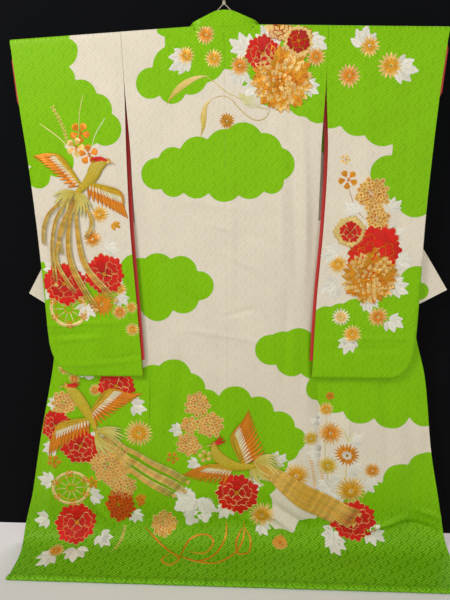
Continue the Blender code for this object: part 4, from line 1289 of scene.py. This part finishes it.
def thread(name, metallic, roughness, glint):
    """Silk or gold thread: painted glint streaks and bump ribs run with the stitch, 0.5 mm thread drawn 1.2 mm
    wide.
    """
    mat, tree, shader = material(name, rgb("D2901C"), roughness, metallic=metallic)
    uv = node(tree, "ShaderNodeUVMap", {"uv_map": "cloth"}).outputs["UV"]
    hue = node(tree, "ShaderNodeAttribute", {"attribute_name": "thread"}).outputs["Color"]
    squeeze = node(tree, "ShaderNodeMapping", None, {"Vector": uv})
    squeeze.inputs["Scale"].default_value = (900, 60, 1)
    streak = node(tree, "ShaderNodeTexNoise", None,
                  {"Vector": squeeze.outputs[0], "Scale": 1.0, "Detail": 2.0})
    # painted glint: streak noise along the stitch lightens and darkens the thread colour by up to the glint
    # share
    glint_bright = node(tree, "ShaderNodeMapRange", None,
                  {"Value": streak.outputs["Fac"], "From Min": 0.3, "From Max": 0.7, "To Min": 1 - glint,
                   "To Max": 1 + glint})
    sheen_grey = node(tree, "ShaderNodeCombineColor", None,
                {"Red": glint_bright.outputs[0], "Green": glint_bright.outputs[0], "Blue": glint_bright.outputs[0]})
    glint_streaked = node(tree, "ShaderNodeMix", {"data_type": "RGBA", "blend_type": "MULTIPLY"},
                    {0: 1.0, 6: hue, 7: sheen_grey})
    tree.links.new(glint_streaked.outputs[2], shader.inputs["Base Color"])
    ribs = node(tree, "ShaderNodeTexWave", {"wave_type": "BANDS", "bands_direction": "X"},
                {"Vector": uv, "Scale": 130.0, "Distortion": 0.6})
    bump = node(tree, "ShaderNodeBump", None,
                {"Strength": 0.5, "Distance": 0.0005, "Height": ribs.outputs["Fac"]})
    tree.links.new(bump.outputs["Normal"], shader.inputs["Normal"])
    shader.inputs["Specular IOR Level"].default_value = 0.3
    return mat


THREADS = [thread("silk_thread", 0.0, 0.55, 0.22), thread("couched_gold_thread", 0.30, 0.36, 0.35)]


def on_body(x, s):
    deep = np.where(np.abs(x) < edge_at(SIDE_EDGE, x, s), back_depth(x, s), front_depth(x, s))
    return hang(x, deep + pull(x, s), s)


def on_sleeve(x, s):
    point = sleeve_point(x, s, 0)
    point[..., 1] += gather(x, s)
    return point


def sew(name, work, on, wall, edges):
    """Lays the stitching on the cloth, cuts it off at the cloth's edges and closes it underneath."""
    x, s, lift = (np.concatenate([patch[k].ravel() for patch in work]) for k in range(3))
    limit = edge_at(edges, x, s) - EDGE_MARGIN
    x, s = np.clip(x, -limit, limit), np.maximum(s, 0.004)
    e = 1e-4
    normal = np.cross(on(x, s + e) - on(x, s - e), on(x + e, s) - on(x - e, s))
    normal /= np.maximum(np.linalg.norm(normal, axis=-1, keepdims=True), 1e-12)
    verts = on(x, s) + normal * (wall / 2 + lift)[:, None]
    hues = np.concatenate([
        np.broadcast_to(patch[3], (*patch[0].shape, 3)).reshape(-1, 3) for patch in work
    ])
    maps = np.concatenate([np.stack([patch[4], patch[5]], -1).reshape(-1, 2) for patch in work])
    faces, kinds, under, base, spare = [], [], [], 0, len(x)
    for px, ps, rise, _, _, _, kind in work:
        rows, cols = px.shape
        index = base + np.arange(rows * cols).reshape(rows, cols)
        base += rows * cols
        if min(np.ptp(x[index[1:-1]]), np.ptp(s[index[1:-1]])) < THIN_PATCH:
            continue
        quads = quads_of(index)
        m = rows // 2
        if max(np.ptp(px[m]), np.ptp(ps[m])) > BROAD_PATCH:  # its underside follows the cloth as its face does
            foot = index.copy()
            inner = foot[1:-1, 1:-1]
            under.append((inner.ravel().copy(), rise[0, 0]))
            foot[1:-1, 1:-1] = spare + np.arange(inner.size).reshape(inner.shape)
            spare += inner.size
            closing = quads_of(foot)[:, [0, 3, 2, 1]].tolist()
        else:
            back = np.stack([index[:-1, 0], index[1:, 0], index[1:, -1], index[:-1, -1]], -1)
            closing = back.tolist() + [[index[0, 0], *index[0, :0:-1]], list(index[-1])]
        across = px[m, -1] - px[m, 0], ps[m, -1] - ps[m, 0]
        along = px[m, 0] - px[m - 1, 0], ps[m, 0] - ps[m - 1, 0]
        turn = across[0] * along[1] - across[1] * along[0]
        made = quads.tolist() + [[int(v) for v in face] for face in closing]
        faces += [face[::-1] for face in made] if turn > 0 else made
        kinds += [kind] * len(made)
    if under:
        taken = np.concatenate([ids for ids, _ in under])
        level = np.concatenate([np.full(len(ids), rise) for ids, rise in under])
        below = on(x[taken], s[taken]) + normal[taken] * (wall / 2 + level)[:, None]
        verts, hues, maps = (
            np.concatenate(pair) for pair in ((verts, below), (hues, hues[taken]), (maps, maps[taken]))
        )
    item = solid(name, verts.tolist(), faces, *THREADS)
    mesh = item.data
    mesh.polygons.foreach_set("material_index", np.array(kinds))
    corners = np.empty(len(mesh.loops), int)
    mesh.loops.foreach_get("vertex_index", corners)
    mesh.uv_layers.new(name="cloth").data.foreach_set("uv", maps[corners].astype(np.float32).ravel())
    paint = np.concatenate([np.clip(hues, 0, 1), np.ones((len(hues), 1))], -1).astype(np.float32)
    mesh.attributes.new("thread", "FLOAT_COLOR", "POINT").data.foreach_set("color", paint.ravel())
    bm = bmesh.new()
    bm.from_mesh(mesh)
    bmesh.ops.delete(bm, geom=[v for v in bm.verts if not v.link_faces], context="VERTS")
    bm.to_mesh(mesh)
    bm.free()
    mesh.set_sharp_from_angle(angle=math.radians(50))
    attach(item, "root")
    return item


def place(work, rows):
    """Rows give the motif, then x, s and size in centimetres, then what else it takes."""
    for make, x, s, r, *more in rows:
        make(work, x / 100, s / 100, r / 100, *more)


# ---- Embroidery over the neck and shoulders ----------------------------------------------------------
# A great gold peony with red ones, chrysanthemums and white leaves, and two gold ribbons blown below.
# Places and sizes in these tables are in centimetres.
neck = []
place(neck, (
    (leaves, -13.8, 9.8, 5.0, 2.6), (leaves, 4.6, 5.8, 5.2, 3.6), (leaves, 4.0, 14.5, 4.6, 2.4),
    (leaves, 11.9, 3.0, 4.2, -2.0), (leaves, 27.3, 5.8, 4.6, 0.3), (leaves, 8.5, 18.5, 4.6, 2.5),
    (leaves, 26.0, 17.5, 3.6, 0.6),
    (mum, -5.4, 2.8, 3.0, 0.0), (mum, -11.4, 8.1, 2.9, 0.0, "gold"), (mum, -3.1, 9.4, 2.9, 0.0, "gold"),
    (mum, 4.6, 11.5, 3.2, 0.0006), (mum, 26.8, 8.7, 3.0, 0.0006),
    (peony, 11.4, 8.2, 5.0, 0.3, 0.0008),
    (peony, 16.0, 0.4, 4.2, 1.2, 0.0002, "gold", "pale", "red", "gold", "red"),
    (leaves, 17.4, 7.2, 4.0, -1.2), (leaves, 13.4, 4.4, 4.2, -2.0),
    (peony, 21.6, 4.6, 4.6, 1.1, 0.0006, "red", "wine", "gold", "gold", "gold"),
    (gold_peony, 16.9, 15.0, 9.0, 0.2, 0.0022), (mum, 0.6, 27.0, 2.6, 0.0, "dark", "gold"),
))
ribbon(neck, [(13.5, 23.6), (9.0, 22.6), (4.5, 20.6), (0.6, 18.9), (-2.4, 16.4), (-5.3, 14.3)], 0.0016,
       0.0003, "brass", "pale")
ribbon(neck, [(-4.6, 14.0), (-8.6, 14.4), (-12.6, 16.2), (-15.6, 18.6), (-17.8, 21.5)], 0.0105, 0.0004,
       "pale", "brass", SILK, swell=True)
ribbon(neck, [(13.8, 23.2), (12.0, 26.0), (9.0, 26.6), (5.4, 24.4), (1.8, 20.8), (-1.0, 19.9),
              (-4.2, 20.6)], 0.0016, 0.0006, "brass", "pale")
ribbon(neck, [(-3.6, 20.4), (-5.8, 22.4), (-6.5, 25.6), (-6.6, 28.2), (-7.6, 31.4)], 0.0098, 0.0006, "pale",
       "brass", SILK, swell=True)
ribbon(neck, [(4.0, 19.0), (8.0, 21.5), (12.5, 21.0)], 0.020, 0.0001, "lime", "white", SILK, swell=True)
EMBROIDERY = {"neck": sew("embroidery_neck", neck, on_body, BODY_WALL, SIDE_EDGE)}

# ---- Embroidery on the sleeves -----------------------------------------------------------------------
# Left: a phoenix over peonies and a flower cart's wheel.  Right: peonies, gold balls and plum blossom.
# Both are worked on the sleeve's back layer only.
left_sleeve = []
ear(left_sleeve, -48.6, 33.0, -53.0, 19.5, 0.0, 12)
ribbon(left_sleeve, [(-47.0, 36.0), (-50.6, 30.0), (-57.6, 24.2)], 0.0020, 0.0, "lime", "pale", SILK)
ribbon(left_sleeve, [(-42.0, 36.0), (-40.4, 29.5), (-36.4, 23.6)], 0.0016, 0.0, "lime", "white", SILK)
ribbon(left_sleeve, [(-45.4, 30.0), (-44.6, 22.5), (-43.0, 16.5)], 0.0016, 0.0, "lime", "pale", SILK)
place(left_sleeve, (
    (leaves, -41.5, 39.6, 3.4, 2.8, 0.0, "white", 3), (leaves, -37.0, 64.9, 4.4, 0.2),
    (leaves, -35.2, 57.2, 2.6, 0.6, 0.0, "gold", 3),
    (leaves, -46.6, 86.1, 5.0, 1.6), (leaves, -57.5, 70.5, 4.2, 3.9), (leaves, -34.5, 82.0, 4.0, 0.8),
    (leaves, -60.0, 79.5, 3.6, 2.8), (leaves, -46.5, 70.5, 4.0, -1.5),
    (blossom, -44.9, 27.9, 3.2, 0.3, 0.0004, "orange", "amber"),
    (blossom, -42.6, 34.6, 3.1, 0.9, 0.0004, "orange", "amber"),
    (blossom, -46.6, 32.2, 3.0, 0.1, 0.0006, "gold", "pale"),
    (mum, -40.2, 53.4, 3.2, 0.0, "gold"), (mum, -43.0, 61.4, 3.3, 0.0),
    (mum, -35.1, 78.3, 2.6, 0.0, "gold"),
    (mum, -35.5, 86.2, 2.8, 0.0), (mum, -31.6, 84.6, 2.2, 0.0, "gold"),
    (mum, -31.6, 92.2, 2.6, 0.0, "gold"),
    (wheel, -52.7, 85.0, 6.3, 0.0002), (mum, -41.4, 83.4, 4.4, 0.0006, "orange", "gold", 18),
    (peony, -53.4, 76.3, 7.0, 0.6, 0.0010), (peony, -39.8, 73.2, 6.8, 0.1, 0.0014),
))
for way, strands, eye in (
    (((-48.8, 47.5), (-54.0, 54.0), (-56.3, 64.0), (-56.0, 76.0)), 2, 0.008),
    (((-48.2, 48.0), (-52.0, 57.0), (-55.2, 68.0), (-50.0, 79.5)), 2, None),
    (((-48.0, 48.0), (-50.8, 60.0), (-50.0, 71.0), (-43.5, 84.8)), 3, 0.009),
    (((-47.4, 48.0), (-47.6, 60.0), (-45.4, 71.0), (-37.0, 81.7)), 3, 0.009),
    (((-48.6, 47.5), (-55.4, 51.5), (-58.4, 57.0), (-59.0, 63.0)), 2, None),
    (((-48.0, 48.0), (-52.4, 56.0), (-53.8, 61.0), (-53.4, 66.5)), 2, None),
    (((-46.8, 48.0), (-43.5, 53.0), (-43.0, 57.0), (-45.0, 61.0)), 2, None),
):
    streamer(left_sleeve, way, 0.0034, 0.0052, "brass", "lime", strands, eye)
rump(left_sleeve, -47.6, 46.0, 1.85, 9.5, 0.0050, 17, 2.3)
wing(left_sleeve, (-45.4, 43.6), (-51.5, 34.8), (-60.2, 34.4), (-49.9, 44.4), 12, 0.0024)
wing(left_sleeve, (-42.3, 43.4), (-33.6, 46.3), (-31.2, 55.2), (-43.2, 48.6), 12, 0.0024)
bird_body(left_sleeve, [(-36.6, 36.9), (-40.0, 38.5), (-42.4, 42.2), (-47.8, 47.0)], 0.0200, 0.0036,
          crest=((-5.6, -0.5), (-4.6, 0.3), (-4.9, -1.1)), beak=(2.2, 0.8))
right_sleeve = []
place(right_sleeve, (
    (leaves, 40.7, 3.2, 5.0, -1.4), (leaves, 53.2, 11.9, 5.2, 0.1), (leaves, 32.7, 67.1, 4.4, 3.0),
    (leaves, 52.5, 60.3, 5.0, -0.5), (leaves, 55.1, 78.2, 4.8, 0.5), (leaves, 33.1, 78.5, 5.0, 2.6),
    (leaves, 54.2, 90.0, 4.6, 0.5), (leaves, 39.2, 97.8, 4.4, 1.9), (leaves, 56.0, 69.0, 4.2, -0.2),
    (leaves, 39.0, 52.5, 4.2, -2.4), (leaves, 52.0, 51.0, 3.6, -0.6), (leaves, 46.0, 84.0, 4.0, 1.3),
    (mum, 42.2, 5.6, 3.3, 0.0, "gold"), (mum, 36.6, 13.8, 3.6, 0.0), (mum, 48.5, 10.9, 4.0, 0.0, "gold"),
    (blossom, 37.4, 43.6, 3.0, 0.4, 0.0, "orange", "gold"),
    (blossom, 36.4, 37.6, 1.6, 0.1, 0.0, "gold", "pale"),
    (cluster, 45.2, 48.0, 5.2, 0.0006), (cluster, 46.9, 55.4, 3.8, 0.0006),
    (peony, 38.7, 60.0, 4.9, 0.5, 0.0012, "wine", "red", "pale", "red", "brass"),
    (mum, 35.3, 70.3, 3.4, 0.0, "gold"),
    (mum, 36.9, 87.8, 3.2, 0.0, "pale", "white"), (mum, 48.7, 87.7, 3.6, 0.0),
    (mum, 40.7, 93.6, 3.4, 0.0, "gold"),
    (peony, 46.7, 65.6, 8.4, 0.9, 0.0006, "red", "red", "gold"), (gold_peony, 45.5, 74.6, 8.4, 0.4, 0.0034),
))
ribbon(right_sleeve, [(37.6, 46.0), (40.0, 52.0), (43.0, 56.0)], 0.0012, 0.0, "dark", "dark", SILK)
EMBROIDERY["sleeve_left"] = sew("embroidery_sleeve_left", left_sleeve, on_sleeve, SLEEVE_WALL, SLEEVE_OUTER)
EMBROIDERY["sleeve_right"] = sew("embroidery_sleeve_right", right_sleeve, on_sleeve, SLEEVE_WALL,
                                 SLEEVE_OUTER)

# ---- Embroidery over the skirt -----------------------------------------------------------------------
# Two more phoenixes fly over peonies, flower balls, grasses and a wheel, with a ribbon along the floor.
# The stitching runs across the seams.
low_left = []
place(low_left, (
    (leaves, -63.0, 180.8, 5.4, 2.2), (leaves, -68.9, 164.6, 4.6, 3.0), (leaves, -53.5, 178.1, 5.6, 1.4),
    (leaves, -44.8, 171.4, 4.8, 0.7), (leaves, -66.3, 148.3, 4.6, 3.4), (leaves, -49.0, 108.0, 4.0, -1.2),
    (leaves, -31.0, 120.5, 4.6, 0.3), (leaves, -64.0, 136.5, 4.0, 2.8), (leaves, -45.5, 131.5, 4.6, 0.8),
    (leaves, -33.5, 163.0, 4.0, 0.8), (leaves, -48.0, 155.0, 4.4, 0.0), (leaves, -61.5, 119.5, 3.6, 3.0),
    (mum, -56.4, 106.5, 2.8, 0.0), (mum, -53.5, 110.4, 2.2, 0.0), (mum, -61.0, 176.4, 3.3, 0.0),
    (cluster, -57.6, 119.2, 4.4, 0.0004), (mum, -31.4, 130.0, 5.4, 0.0, "gold", "pale", 22),
    (mum, -46.4, 114.6, 2.4, 0.0),
    (cluster, -42.2, 141.9, 8.0, 0.0006), (cluster, -38.0, 150.6, 4.8, 0.0004),
    (wheel, -57.4, 152.1, 6.6, 0.0002),
    (blossom, -62.5, 141.0, 2.6, 0.2, 0.0004, "orange", "gold"),
    (blossom, -49.5, 150.0, 2.4, 0.8, 0.0008, "orange", "gold"),
    (peony, -38.7, 112.9, 6.6, 0.2, 0.0006), (peony, -61.0, 127.6, 5.6, 0.8, 0.0008),
    (peony, -52.8, 135.6, 6.6, 0.3, 0.0010),
    (peony, -56.1, 166.0, 7.6, 0.5, 0.0008),
    (cluster, -39.4, 158.0, 5.2, 0.0010, 0.0085, ("red", "wine", "red"), "orange", 1.25),
    (cluster, -32.0, 156.0, 1.9, 0.0004, 0.0075, ("red", "orange", "gold"), "gold", 1.3),
))
ear(low_left, -41.5, 177.0, -38.0, 166.0, 0.0)
for way, strands, eye in (
    (((-44.0, 131.0), (-36.5, 138.5), (-28.0, 145.0), (-16.5, 151.8)), 4, 0.010),
    (((-44.5, 131.5), (-38.0, 140.5), (-30.5, 147.5), (-20.5, 154.0)), 3, 0.010),
    (((-43.5, 130.5), (-35.0, 136.0), (-26.0, 142.0), (-15.0, 148.0)), 3, 0.009),
):
    streamer(low_left, way, 0.0036, 0.0044, "brass", "lime", strands, eye)
rump(low_left, -46.2, 129.5, 0.60, 11.0, 0.0046, 17, 1.7)
wing(low_left, (-48.4, 122.3), (-41.8, 114.4), (-29.6, 115.6), (-45.6, 127.6), 13, 0.0032)
wing(low_left, (-49.4, 124.6), (-59.6, 127.2), (-64.0, 138.8), (-49.4, 131.4), 13, 0.0032)
bird_body(low_left, [(-56.6, 112.6), (-53.4, 116.0), (-49.8, 122.2), (-46.0, 130.5)], 0.0200, 0.0042,
          crest=((5.4, -0.6), (4.4, 0.4), (4.6, -1.3)), beak=(-2.4, 1.0))
low_middle = []
place(low_middle, (
    (leaves, -13.0, 159.0, 10.5, 1.9, 0.0, "white", 5, 0.40), (leaves, -4.0, 144.0, 4.4, 3.2),
    (leaves, 9.5, 149.0, 4.4, 0.1),
    (leaves, -2.0, 160.5, 4.6, 2.2), (leaves, 18.0, 138.5, 4.0, -0.8), (leaves, -18.5, 129.0, 3.8, 3.0),
    (leaves, 12.5, 166.5, 3.8, 1.0), (leaves, -12.5, 141.5, 3.8, 2.6),
    (cluster, -10.6, 118.8, 4.5, 0.0004), (cluster, -6.3, 126.4, 4.8, 0.0004),
    (cluster, -14.1, 133.9, 4.4, 0.0004),
    (cluster, -13.6, 126.6, 3.2, 0.0002), (blossom, -19.9, 139.6, 2.4, 0.2, 0.0, "orange", "gold"),
    (blossom, -8.2, 137.9, 2.4, 0.7, 0.0, "gold", "pale"),
    (blossom, 6.8, 129.2, 2.2, 0.4, 0.0, "orange", "gold"),
    (mum, 11.7, 161.0, 5.0, 0.0012, "gold", "pale", 22), (mum, 23.6, 144.8, 5.2, 0.0, "gold", "pale", 22),
    (cluster, -23.7, 165.4, 4.8, 0.0, 0.0075),
    (peony, 18.1, 170.8, 2.6, 0.4, 0.0, "orange", "gold", "pale"), (peony, 2.8, 152.7, 7.7, 0.5, 0.0006),
))
for way, strands, eye in (
    (((9.0, 140.5), (18.0, 146.5), (28.0, 154.0), (43.5, 163.2)), 5, 0.010),
    (((9.0, 141.5), (17.0, 148.5), (26.5, 156.5), (38.0, 162.5)), 5, None),
    (((9.5, 140.0), (19.0, 144.5), (30.0, 152.0), (45.5, 159.5)), 5, 0.009),
):
    streamer(low_middle, way, 0.0040, 0.0040, "brass", "gold", strands, eye)
rump(low_middle, 8.8, 140.2, 0.60, 11.0, 0.0046, 17, 2.0)
wing(low_middle, (4.5, 141.4), (1.0, 131.5), (7.2, 120.6), (12.6, 136.0), 12, 0.0030)
wing(low_middle, (1.5, 142.8), (-5.6, 141.2), (-16.6, 146.2), (-2.0, 149.4), 11, 0.0030)
bird_body(low_middle, [(-5.4, 133.4), (-3.6, 138.4), (2.4, 142.2), (10.8, 141.8)], 0.0200, 0.0042,
          crest=((3.8, -2.4), (4.6, -1.2), (2.8, -3.2)), beak=(-2.4, 0.6))
for points in (
    ((-31.0, 166.5), (-26.0, 171.0), (-21.0, 175.0), (-17.0, 178.5), (-19.5, 181.5), (-22.8, 179.5),
     (-20.5, 176.0)),
    ((-17.0, 178.5), (-14.5, 171.0), (-9.0, 168.4), (-5.6, 171.0), (-8.4, 175.6), (-14.5, 175.2)),
    ((-18.0, 177.0), (-11.0, 179.5), (-4.0, 180.0), (1.5, 176.0), (5.0, 170.0), (5.4, 163.0)),
    ((4.8, 166.0), (2.6, 171.0), (3.4, 175.4), (7.0, 174.6), (7.6, 169.8), (5.4, 166.0)),
    ((-12.0, 180.0), (-6.0, 177.6), (-1.5, 170.0), (-1.0, 164.0)),
):
    ribbon(low_middle, points, 0.0036, 0.0004 + 0.0003 * rng.random(), "orange", "gold")
low_right = []
place(low_right, (
    (leaves, 35.9, 168.6, 4.8, 2.2), (leaves, 37.8, 172.0, 5.0, 1.3), (leaves, 51.7, 167.5, 5.6, 0.6),
    (leaves, 33.0, 150.1, 4.8, 3.1), (leaves, 49.1, 148.6, 4.6, 0.9), (leaves, 37.0, 154.5, 4.8, -2.2),
    (leaves, 44.0, 142.0, 4.2, 0.3), (leaves, 29.6, 136.5, 4.4, 3.2), (leaves, 44.0, 131.0, 4.0, -0.6),
    (leaves, 38.0, 148.0, 4.6, 2.2), (leaves, 38.4, 139.6, 4.0, 1.5), (leaves, 30.0, 124.5, 3.4, 3.3),
    (mum, 33.4, 120.5, 2.8, 0.0, "gold"), (mum, 35.2, 129.2, 4.6, 0.0003, "orange", "pale", 20),
    (mum, 28.4, 131.0, 3.0, 0.0, "brass", "pale"), (mum, 40.8, 136.8, 4.4, 0.0006, "orange", "gold", 20),
    (mum, 34.7, 141.6, 3.9, 0.0003, "brass", "pale"), (mum, 49.8, 142.6, 3.2, 0.0),
    (mum, 42.6, 150.2, 5.6, 0.0009, "gold", "pale", 22),
    (floret, 34.6, 115.8, 1.5, 0.4, 0.0, "orange", "gold"),
    (peony, 43.8, 162.0, 8.1, 0.4, 0.0002),
))
floret(low_right, 0.408, 1.368, 0.016, 0.0, 0.0024, "white", "white", 8, SILK)
ear(low_right, 30.5, 160.0, 28.2, 137.0, 0.0, 22)
ear(low_right, 33.5, 160.0, 31.6, 140.0, 0.0, 18)
for tip in ((39.0, 126.5), (41.5, 125.5), (43.8, 126.5), (36.6, 123.6)):
    feather(low_right, (41.0, 132.0), tip, 0.0020, 0.05, 0.0, "lime", "white")
for points in (
    ((33.0, 164.0), (34.5, 154.0), (35.0, 146.0)), ((38.5, 163.0), (40.5, 150.0), (40.8, 140.0)),
    ((45.0, 158.0), (48.5, 150.0), (49.8, 144.0)), ((35.0, 150.0), (33.5, 135.0), (33.6, 123.0)),
):
    ribbon(low_right, points, 0.0014, 0.0, "brass", "brass", SILK)
EMBROIDERY["left"] = sew("embroidery_skirt_left", low_left, on_body, BODY_WALL, FRONT_EDGE)
EMBROIDERY["middle"] = sew("embroidery_skirt_middle", low_middle, on_body, BODY_WALL, FRONT_EDGE)
EMBROIDERY["right"] = sew("embroidery_skirt_right", low_right, on_body, BODY_WALL, FRONT_EDGE)
